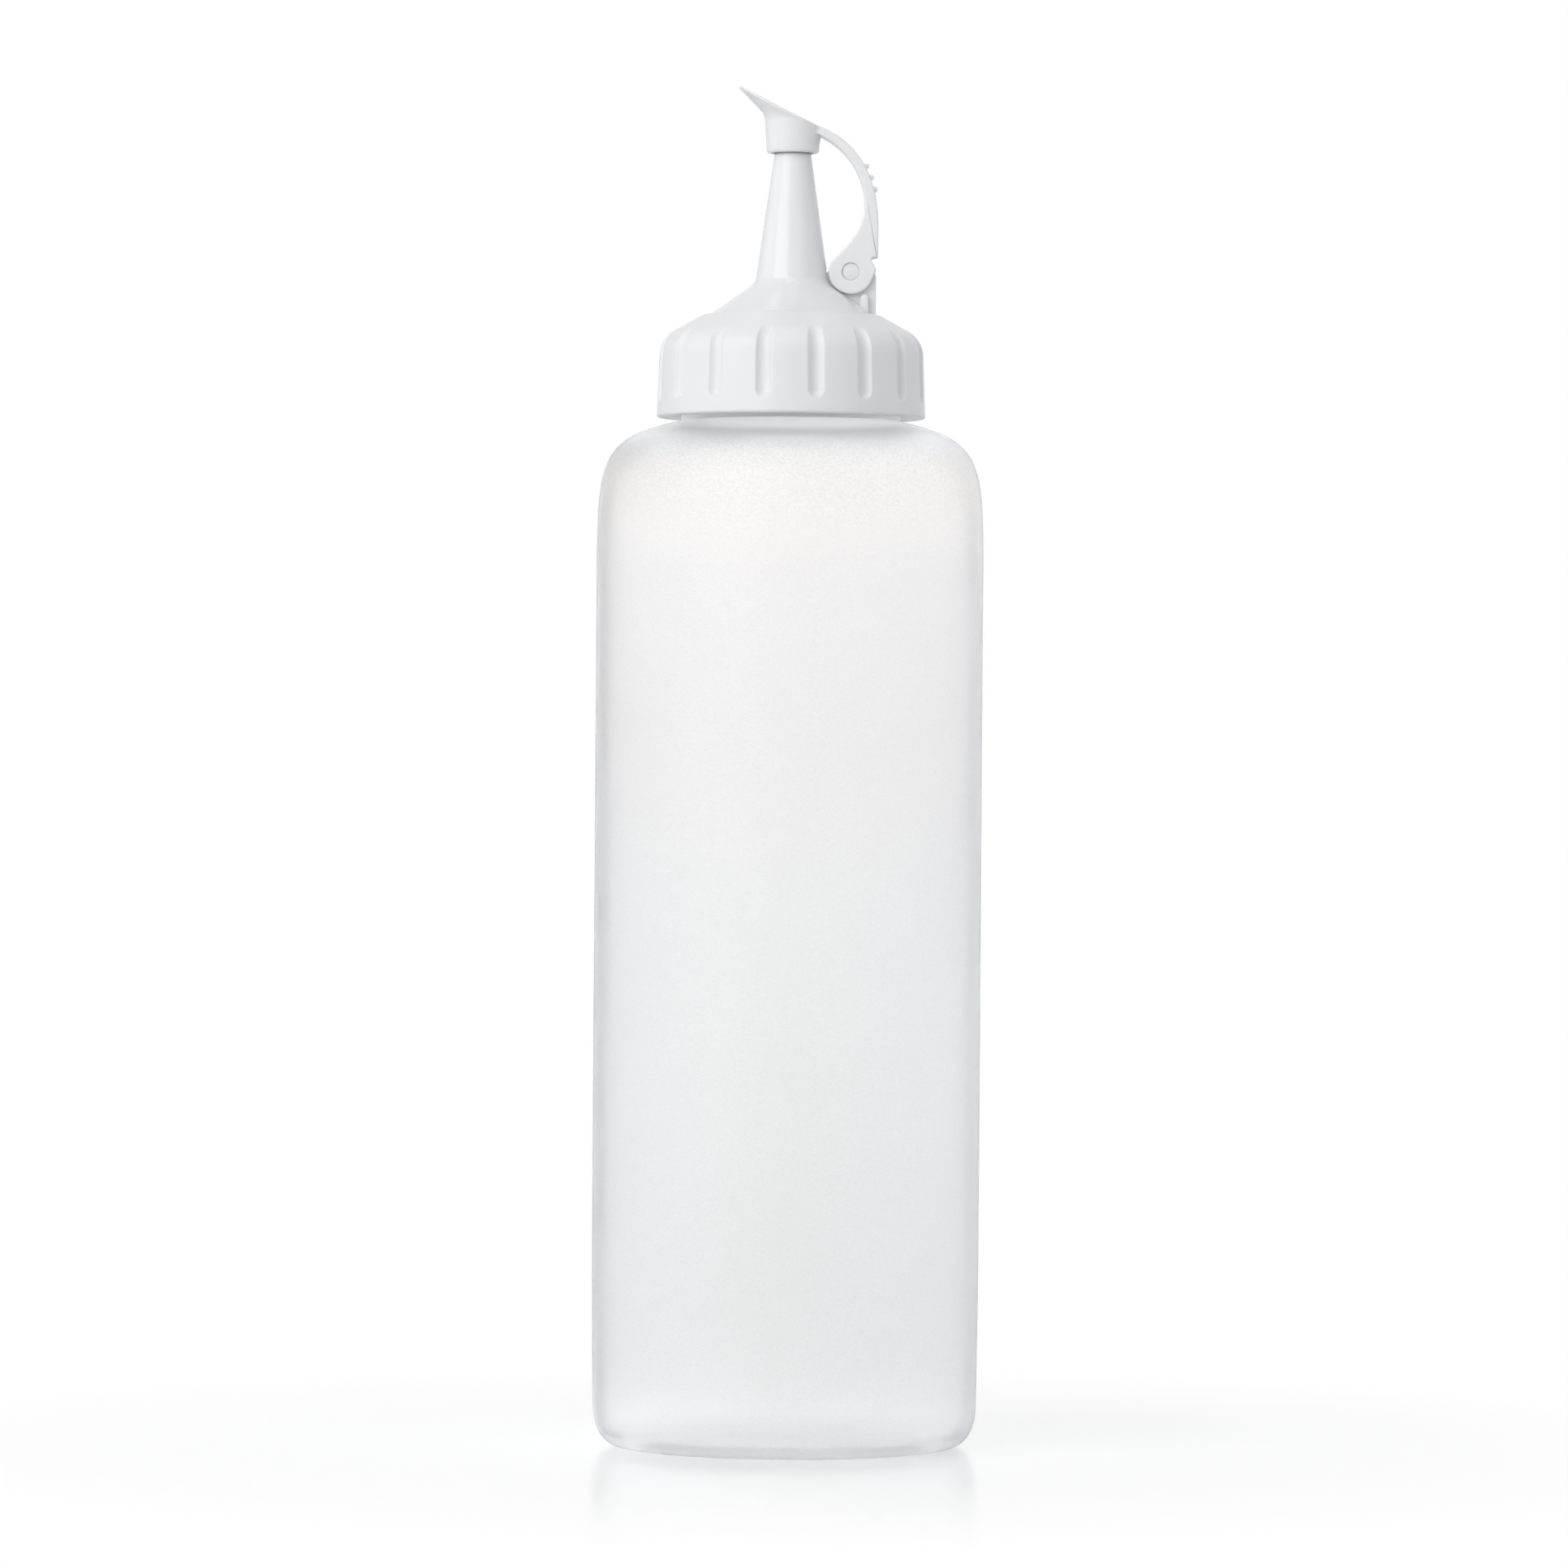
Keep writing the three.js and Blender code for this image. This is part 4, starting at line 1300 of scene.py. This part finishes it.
    def pegs(self) -> Piece:
        """Makes the two stop pegs, joined across the post.

        Returns:
            The pegs as one solid.
        """
        x = PIVOT_X + self.peg_reach
        z = PIVOT_Z - self.peg_drop - self.peg_top
        toe = x - self.peg_foot - self.peg_toe
        root = DOME_FOOT - self.peg_root
        right = rounded(
            [(toe, root), (x + self.peg_foot, root),
             (x + self.peg_foot, DOME_FOOT, self.peg_foot_round), (x + self.peg_top, z)],
            steps=3,
        )
        top = arc(x, z, self.peg_top, self.peg_lean_deg, 180, steps=12)
        toe_z = DOME_FOOT + self.peg_toe_rise
        left = rounded(
            [top[-1], (x - self.peg_foot, toe_z + self.peg_toe_slope, self.peg_toe_round),
             (toe, toe_z)],
            steps=5,
        )[1:]
        outline = np.concatenate((right, top, left))
        return slab("pegs", outline, self.peg_half_width, self.peg_edge, steps=3)

    def build(self) -> None:
        """Builds the nozzle with its finish and hands it to the frame."""
        angles = np.linspace(0, TURN, self.sides, endpoint=False)
        piece = skin("nozzle_spout_skin", turned(self.wall_outline(), angles), Ends.JOINED)
        scoop = cross_bar(
            "scoop", self.relief, self.relief_half_width, self.relief_end, sides=96
        )
        combine(piece, scoop, Join.TAKE)
        hinge = self.post()
        combine(hinge, self.pegs(), Join.ADD)
        combine(hinge, self.core(), Join.TAKE)
        combine(hinge, cross_bar("pin", self.pin, self.pin_reach, self.pin_end), Join.ADD)
        combine(piece, hinge, Join.ADD)
        clean_faces(piece, self.weld)
        smooth(piece, crease_deg=32, even=True)
        dress(piece, "nozzle", "nozzle_spout", GLOSS_PP)


@dataclass
class FlipCap:
    """Lever cap: ears, arm, grip ribs, and the hood with its oval thumb lip.

    Each corner of the notch has its place from the pivot and its radius. Leads are the shares
    of a bend that its two handles take up.
    """

    half_width: float = 2.6
    slot_half: float = 1.45
    slot_edge: float = 0.12
    ear: float = 3.65
    ear_start_deg: float = 157.0
    ear_end_deg: float = -22.0
    fork: float = 4.6
    hole: float = 1.43
    hole_end: tuple = ((0, -0.24), (0.03, -0.13), (0.1, -0.04), (0.26, 0.06))
    notch: tuple = ((4.16, 0.42, 0.35), (3.05, 2.34, 0.45), (4.42, 2.42, 0.2))
    edge: float = 0.28
    arm_reach: float = 4.47
    arm_thickness: float = 2.3
    waist: float = 6.93
    narrow: float = 10.93
    root_reach: float = 4.6
    root_thickness: float = 1.45
    root_inset: float = 0.6
    root_drop: float = 0.21
    back_leads: tuple = (0.583, 0.567)
    inside_leads: tuple = (0.604, 0.437)
    flank_leads: tuple = (0.436, 0.44)
    flank_deg: float = 46.5
    rim_z: float = 211.5
    rim_radius: float = 4.28
    rim_rounds: tuple = (0.16, 0.46)
    rim_slope: tuple = (0.08, 2.0)
    top_radius: float = 4.58
    hood_wall: float = 0.83
    cavity: float = 3.4
    cavity_round: float = 0.3
    boss: float = 2.0
    boss_foot: float = 212.8
    boss_rounds: tuple = (0.15, 0.2)
    boss_middle: float = 0.5
    tip_reach: float = 8.96
    heel_reach: float = 4.72
    lip_half_width: float = 5.1
    tip_rise: float = 11.15
    heel_rise: float = 4.15
    dish: float = 0.4
    lip_thickness: float = 0.42
    lip_edge: float = 0.4
    lip_marks: tuple = (0.93, 0.85, 0.75, 0.62, 0.5, 0.38, 0.25, 0.13, 0.05)
    least_flare: float = 0.25
    flare_deg: float = 45.5
    flare_fillet: float = 1.3
    flare_marks: tuple = (0.25, 0.5, 0.75, 0.92, 1.0)
    rib_start: float = 0.477
    rib_foot: float = 0.5
    rib_root: float = 0.3
    rib_top: float = 0.22
    rib_round: float = 0.2
    rib_lean: float = 0.12
    rib_proud: float = 0.6
    rib_inset: float = 0.4
    rib_edge: float = 0.16
    rib_pitch: float = 2.0
    ribs: int = 3
    weld: float = 0.005
    sides: int = 160

    def lip_top(self, x: np.ndarray) -> np.ndarray:
        """Height of the lip's dished top.

        Args:
            x: Distance from the spout's axis, along x.

        Returns:
            Its height over the hood's rim at each distance.
        """
        share = (x + self.tip_reach) / (self.tip_reach + self.heel_reach)
        chord = self.tip_rise + (self.heel_rise - self.tip_rise) * share
        return chord - 4 * self.dish * share * (1 - share)

    def root_slope(self) -> float:
        """Slope of the lip's top where the arm leaves the hood."""
        x, step = self.root_reach, 0.001
        return float(self.lip_top(x + step) - self.lip_top(x - step)) / (2 * step)

    def arm_line(self, start: tuple, end: tuple, leads: tuple, steps: int) -> np.ndarray:
        """Line of the arm that leaves the hood on the lip's slope and comes down upright.

        Args:
            start: The line's first point, at the hood.
            end: Its last point.
            leads: Shares of the bend that its two handles take up.
            steps: Number of steps along it.

        Returns:
            Its points in x and z as rows.
        """
        lead = leads[0] * (end[0] - start[0])
        return bezier(
            start, (start[0] + lead, start[1] + lead * self.root_slope()),
            (end[0], end[1] + leads[1] * (start[1] - end[1])), end, steps,
        )

    def arm_back(self) -> np.ndarray:
        """Outer line of the arm from the hood to the waist.

        Returns:
            Its points in x and z as rows.
        """
        start = (self.root_reach, self.rim_z + float(self.lip_top(self.root_reach)))
        end = (PIVOT_X + self.arm_reach, PIVOT_Z + self.waist)
        return self.arm_line(start, end, self.back_leads, steps=40)

    def arm_inside(self) -> np.ndarray:
        """Inner line of the arm from the hood down to where its flank begins.

        Returns:
            Its points in x and z as rows.
        """
        x, z = self.arm_back()[0]
        start = (
            x - self.root_inset, z - self.root_thickness - self.root_inset * self.root_slope()
        )
        end = (PIVOT_X + self.arm_reach - self.arm_thickness, PIVOT_Z + self.narrow)
        return self.arm_line(start, end, self.inside_leads, steps=36)

    def flank(self) -> np.ndarray:
        """Inner line of the arm from its narrow part down into the ear.

        Returns:
            Its points in x and z as rows.
        """
        start = (PIVOT_X + self.arm_reach - self.arm_thickness, PIVOT_Z + self.narrow)
        meet = math.radians(self.ear_start_deg)
        end = (PIVOT_X + self.ear * math.cos(meet), PIVOT_Z + self.ear * math.sin(meet))
        fall = start[1] - end[1]
        lead = self.flank_leads[1] * fall
        way = math.radians(self.flank_deg)
        return bezier(
            start, (start[0], start[1] - self.flank_leads[0] * fall),
            (end[0] + lead * math.cos(way), end[1] + lead * math.sin(way)), end, steps=24,
        )

    def lever(self) -> Piece:
        """Makes the arm with its two ears, the hook, the notch and the bump.

        Returns:
            The lever.
        """
        back = self.arm_back()
        half_root = self.root_reach / 2
        root = (half_root, self.rim_z + float(self.lip_top(half_root)) - self.root_drop)
        ear = arc(
            PIVOT_X, PIVOT_Z, self.ear, self.ear_start_deg - 360, self.ear_end_deg, steps=56
        )
        notch = ((PIVOT_X + x, PIVOT_Z + z, radius) for x, z, radius in self.notch)
        marks = rounded([ear[-1], *notch, back[-1]], steps=6)[1:-1]
        outline = np.concatenate((
            [root], self.arm_inside(), self.flank()[1:-1], ear, evenly(marks, step=0.4),
            back[::-1],
        ))
        lever = slab("flip_cap_skin", outline, self.half_width, self.edge)
        # The gap of the fork runs right through both ears.
        reach = 4 * self.ear
        box = np.array([
            (PIVOT_X + x * reach, PIVOT_Z + z * self.fork)
            for x, z in ((-1, -1), (1, -1), (1, 1), (-1, 1))
        ])
        gap = slab("fork_gap", box, self.slot_half, self.slot_edge, steps=2)
        combine(lever, gap, Join.TAKE)
        hole = cross_bar("hole", self.hole, self.half_width, self.hole_end)
        combine(lever, hole, Join.TAKE)
        return lever

    def rib(self, place: float) -> Piece:
        """Makes one grip rib across the arm's back.

        Args:
            place: Its share of the way down the arm's outer line.

        Returns:
            The rib.
        """
        back = self.arm_back()
        lengths = np.concatenate(([0], np.cumsum(np.linalg.norm(np.diff(back, axis=0), axis=1))))
        at, step = place * lengths[-1], 0.05
        here, ahead = (
            np.array([np.interp(spot, lengths, back[:, k]) for k in (0, 1)])
            for spot in (at, at + step)
        )
        way = (ahead - here) / np.linalg.norm(ahead - here)
        out = np.array((-way[1], way[0]))
        section = rounded([
            (-self.rib_foot, -self.rib_root), (self.rib_foot, -self.rib_root),
            (self.rib_lean + self.rib_top, self.rib_proud, self.rib_round),
            (self.rib_lean - self.rib_top, self.rib_proud, self.rib_round),
        ])
        outline = here + section[:, :1] * way + section[:, 1:] * out
        half_width = self.half_width - self.rib_inset
        return slab("rib", outline, half_width, self.rib_edge, steps=3)

    def hood_inside(self) -> np.ndarray:
        """Line of the seal boss, the cavity and the rim, from the middle out.

        Returns:
            Radius and height of its points as rows.
        """
        wall_in = self.rim_radius - self.hood_wall
        ceiling = self.rim_z + self.cavity
        wider, higher = self.rim_slope
        return rounded([
            (self.boss_middle, self.boss_foot), (self.boss, self.boss_foot, self.boss_rounds[0]),
            (self.boss, ceiling, self.boss_rounds[1]), (wall_in, ceiling, self.cavity_round),
            (wall_in, self.rim_z, self.rim_rounds[0]),
            (self.rim_radius, self.rim_z, self.rim_rounds[1]),
            (self.rim_radius + wider, self.rim_z + higher),
        ])[:-1]

    def hood(self) -> Piece:
        """Makes the hood with its cavity, its seal boss and the thumb lip.

        Returns:
            The hood.
        """
        oval = np.linspace(0, TURN, self.sides, endpoint=False)
        half_length = (self.heel_reach + self.tip_reach) / 2
        x = (self.heel_reach - self.tip_reach) / 2 + half_length * np.cos(oval)
        y = self.lip_half_width * np.sin(oval)
        reach = np.maximum(np.hypot(x, y), self.top_radius + self.least_flare)
        way_x, way_y = x / np.hypot(x, y), y / np.hypot(x, y)
        flare = math.radians(self.flare_deg)
        over = (reach - self.top_radius) * math.tan(flare)
        low = self.rim_z + self.lip_top(reach * way_x) - self.lip_thickness
        turn = low - over
        tangent = np.minimum(self.flare_fillet, over / 2)
        same = np.ones(self.sides)
        levels = [(r * same, z * same) for r, z in self.hood_inside()]
        start_r, start_z = levels[-1]
        for share in np.linspace(0.1, 1, num=6):
            levels.append((
                start_r + (self.top_radius - start_r) * share,
                start_z + (turn - tangent - start_z) * share,
            ))
        for t in np.linspace(0, 1, num=9)[1:]:
            foot, end = turn - tangent, turn + tangent * math.sin(flare)
            levels.append((
                self.top_radius + t * t * (tangent * math.cos(flare)),
                (1 - t) ** 2 * foot + 2 * t * (1 - t) * turn + t * t * end,
            ))
        last_r, last_z = levels[-1]
        for share in self.flare_marks:
            levels.append((last_r + (reach - last_r) * share, last_z + (low - last_z) * share))
        top = self.rim_z + self.lip_top((reach - self.lip_edge) * way_x)
        for angle in np.radians(np.linspace(18, 90, num=5)):
            levels.append((
                reach - self.lip_edge * (1 - math.cos(angle)), low + (top - low) * math.sin(angle)
            ))
        last_reach = levels[-1][0]
        for share in self.lip_marks:
            r = last_reach * share
            levels.append((r, self.rim_z + self.lip_top(r * way_x)))
        rings = np.array([np.column_stack((r * way_x, r * way_y, z)) for r, z in levels])
        return skin("hood", rings, Ends.MIDDLE)

    def build(self) -> None:
        """Builds the flip cap with its finish and hands it to the frame."""
        piece = self.lever()
        length = float(np.linalg.norm(np.diff(self.arm_back(), axis=0), axis=1).sum())
        for k in range(self.ribs):
            combine(piece, self.rib(self.rib_start + k * self.rib_pitch / length), Join.ADD)
        combine(piece, self.hood(), Join.ADD)
        clean_faces(piece, self.weld)
        smooth(piece, crease_deg=32, even=True)
        dress(piece, "lever_cap", "flip_cap", LEVER_PP)


# ---- studio


@dataclass(frozen=True)
class SoftLamp:
    """A large soft lamp that hangs round the bottle and looks at it, sizes in millimetres."""

    name: str
    azimuth_deg: float
    rise_deg: float
    watts: float
    reach: float = 1600.0
    width: float = 1300.0
    height: float = 1200.0
    aim_height: float = 130.0
    colour: str = "#FFFDFA"

    def hang(self) -> None:
        """Hangs the lamp: azimuth 0 is at the camera, and grows to the right."""
        azimuth, rise = math.radians(self.azimuth_deg), math.radians(self.rise_deg)
        way = Vector((
            math.cos(rise) * math.sin(azimuth), -math.cos(rise) * math.cos(azimuth),
            math.sin(rise),
        ))
        data = bpy.data.lights.new(self.name, "AREA")
        data.shape = "RECTANGLE"
        data.size = self.width * MM
        data.size_y = self.height * MM
        data.energy = self.watts
        data.color = linear(self.colour)[:3]
        lamp = bpy.data.objects.new(self.name, data)
        lamp.location = way * self.reach * MM + Vector((0, 0, self.aim_height * MM))
        lamp.rotation_euler = way.to_track_quat("Z", "Y").to_euler()
        bpy.context.scene.collection.objects.link(lamp)


# The key in front, to the left and a little above, models the grips. The fill opens up the
# right edges from behind.
LAMPS = (
    SoftLamp("key", azimuth_deg=-40.0, rise_deg=25.0, watts=11.8),
    SoftLamp("fill", azimuth_deg=105.0, rise_deg=20.0, watts=2.2),
)


@dataclass
class Studio:
    """Camera, soft lamps, pale floor and white surroundings.

    Each room is its walls from left to right, as place from 0 to 1, brightness and colour.
    """

    image_pixels: float = 1932.0
    focal_pixels: float = 9690.0
    sensor: float = 36.0
    farthest: float = 20.0
    camera_reach: float = 1287.0
    camera_height: float = 108.3
    camera_side: float = -0.73
    lean_deg: float = 0.403
    room_level: float = 0.58
    mirrored_room: tuple = (
        (0.0, 1.7, COOL_WHITE), (0.03, 1.6, COOL_WHITE), (0.065, 0.78, COOL_WHITE),
        (0.30, 0.76, COOL_WHITE), (0.42, 0.95, WHITE), (0.58, 0.95, WHITE),
        (0.64, 1.15, COOL_WHITE), (0.72, 1.2, COOL_WHITE), (0.80, 0.75, COOL_WHITE),
        (1.0, 0.72, COOL_WHITE),
    )
    overhead_room: tuple = (
        (0.0, 0.85, COOL_WHITE), (0.385, 0.85, COOL_WHITE), (0.405, 1.7, WHITE),
        (0.585, 1.6, WHITE), (0.605, 0.60, COOL_WHITE), (0.69, 0.60, COOL_WHITE),
        (0.71, 1.1, WHITE), (1.0, 1.0, WHITE),
    )
    low_overhead: float = 0.45
    full_overhead: float = 0.6
    backlight: float = 2.0
    backlit_room: tuple = (
        (0.0, 0.76, "#EEF6FF"), (0.08, 0.80, "#EEF6FF"), (0.22, 0.80, "#FCFDFF"),
        (0.5, 0.77, WHITE), (0.78, 1.25, "#FCFDFF"), (0.92, 1.9, COOL_WHITE),
        (1.0, 1.9, COOL_WHITE),
    )
    mirrored_backlight: float = 1.7
    floor_colour: str = "#E1E2E3"
    floor_lift: float = 0.16
    floor_half: float = 3000.0
    near_floor: float = 60.0
    far_floor: float = 190.0

    def camera(self) -> None:
        """Sets the camera level with the middle of the body, as the photograph has it."""
        data = bpy.data.cameras.new("camera")
        data.sensor_width = self.sensor
        data.lens = self.sensor * self.focal_pixels / self.image_pixels
        data.clip_end = self.farthest
        camera = bpy.data.objects.new("camera", data)
        bpy.context.scene.collection.objects.link(camera)
        level = Matrix.Rotation(math.pi / 2, 4, "X")
        lean = Matrix.Rotation(math.radians(self.lean_deg), 4, "Z")
        place = Vector((self.camera_side, -self.camera_reach, self.camera_height)) * MM
        camera.matrix_world = Matrix.Translation(place) @ level @ lean
        bpy.context.scene.camera = camera

    def walls(self, tree: Tree, across: Socket, room: tuple) -> Socket:
        """Nodes of the studio's walls, which change in brightness from left to right.

        Args:
            tree: The world's node tree.
            across: How far to the right the light comes from, 0 to 1.
            room: Place across, brightness and colour of each stretch of wall.

        Returns:
            The socket that gives the brightness as a colour.
        """
        marks = [
            (position, (*(level * share for share in linear(code)[:3]), 1.0))
            for position, level, code in room
        ]
        ramp = add_node(tree, "ShaderNodeValToRGB", {"Fac": across}, marks, interpolation="EASE")
        return ramp.outputs["Color"]

    def surroundings(self) -> None:
        """Makes the world of the studio.

        The camera sees it white, and it lights evenly. Mirrored, it is a room of greyer walls
        with bright panels at the sides and overhead. Seen through the bottle, it is a
        backdrop that is brighter to the right.
        """
        world = bpy.data.worlds.new("white_studio")
        tree = empty_tree(world)
        way = add_node(tree, "ShaderNodeTexCoord").outputs["Generated"]
        axes = add_node(tree, "ShaderNodeSeparateXYZ", {"Vector": way}).outputs
        path = add_node(tree, "ShaderNodeLightPath").outputs
        slant = add_node(tree, "ShaderNodeMath", {0: axes["X"], 1: axes["Z"]}, operation="DIVIDE")
        across, overhead = (
            add_node(
                tree, "ShaderNodeMapRange", {"Value": value, "From Min": -1.0, "From Max": 1.0}
            ).outputs["Result"]
            for value in (axes["X"], slant.outputs["Value"])
        )
        lifted = add_node(
            tree, "ShaderNodeMapRange",
            {"Value": axes["Z"], "From Min": self.low_overhead, "From Max": self.full_overhead},
            interpolation_type="SMOOTHSTEP",
        )
        mirrored = add_node(
            tree, "ShaderNodeMix",
            {0: lifted.outputs["Result"], 6: self.walls(tree, across, self.mirrored_room),
             7: self.walls(tree, overhead, self.overhead_room)},
            data_type="RGBA",
        )
        backlight = add_node(
            tree, "ShaderNodeMapRange",
            {"Value": path["Glossy Depth"], "To Min": self.backlight,
             "To Max": self.mirrored_backlight},
        )
        backlit = self.walls(tree, across, self.backlit_room)
        shown = add_node(
            tree, "ShaderNodeBackground", {"Color": linear(WHITE), "Strength": self.room_level}
        )
        for ray, colour, strength in (
            ("Is Glossy Ray", mirrored.outputs[2], 1.0),
            ("Is Transmission Ray", backlit, backlight.outputs["Result"]),
            ("Is Camera Ray", linear(WHITE), 1.0),
        ):
            look = add_node(tree, "ShaderNodeBackground", {"Color": colour, "Strength": strength})
            shown = add_node(
                tree, "ShaderNodeMixShader",
                {0: path[ray], 1: shown.outputs[0], 2: look.outputs[0]},
            )
        add_node(tree, "ShaderNodeOutputWorld", {"Surface": shown.outputs[0]})
        bpy.context.scene.world = world

    def floor(self) -> None:
        """Lays the pale floor, which mirrors the foot of the bottle and keeps its shadow. To
        the camera it fades to white away from the bottle."""
        half = self.floor_half
        corners = [(-half, -half, 0), (half, -half, 0), (half, half, 0), (-half, half, 0)]
        floor = new_piece("studio_floor", np.array(corners), [[0, 1, 2, 3]])
        made = bpy.data.materials.new("satin_acrylic_floor")
        tree = empty_tree(made)
        place = add_node(tree, "ShaderNodeTexCoord").outputs["Object"]
        path = add_node(tree, "ShaderNodeLightPath").outputs
        satin = add_node(
            tree, "ShaderNodeBsdfPrincipled",
            {"Base Color": linear(self.floor_colour), "Roughness": 0.16, "IOR": 1.45},
        )
        seen = add_node(
            tree, "ShaderNodeMath", {0: path["Is Camera Ray"], 1: path["Is Transmission Ray"]},
            operation="MAXIMUM",
        )
        lift = add_node(
            tree, "ShaderNodeMath", {0: seen.outputs["Value"], 1: self.floor_lift},
            operation="MULTIPLY",
        )
        glow, white = (
            add_node(tree, "ShaderNodeEmission", {"Color": linear(WHITE), "Strength": strength})
            for strength in (lift.outputs["Value"], 1.0)
        )
        near = add_node(tree, "ShaderNodeAddShader", {0: satin.outputs[0], 1: glow.outputs[0]})
        away = add_node(tree, "ShaderNodeVectorMath", {0: place}, operation="LENGTH")
        fade = add_node(
            tree, "ShaderNodeMapRange",
            {"Value": away.outputs["Value"], "From Min": self.near_floor * MM,
             "From Max": self.far_floor * MM},
            interpolation_type="SMOOTHSTEP",
        )
        share = add_node(
            tree, "ShaderNodeMath", {0: fade.outputs["Result"], 1: path["Is Camera Ray"]},
            operation="MULTIPLY",
        )
        both = add_node(
            tree, "ShaderNodeMixShader",
            {0: share.outputs["Value"], 1: near.outputs[0], 2: white.outputs[0]},
        )
        add_node(tree, "ShaderNodeOutputMaterial", {"Surface": both.outputs[0]})
        floor.data.materials.append(made)

    def build(self) -> None:
        """Sets up the whole studio, the camera first."""
        self.camera()
        for lamp in LAMPS:
            lamp.hang()
        self.surroundings()
        self.floor()
        bpy.context.scene.view_settings.view_transform = "Standard"
        log.info("studio ready")


def main() -> None:
    """Builds the studio and every piece in order."""
    logging.basicConfig(level=logging.INFO, format="%(name)s: %(message)s")
    for part in (Studio, SqueezeBody, ScrewCollar, PouringNozzle, FlipCap):
        part().build()
    dress_node("neck_gasket", SEAL_SILICONE)
    log.info("boxes written")


if __name__ == "__main__":
    main()
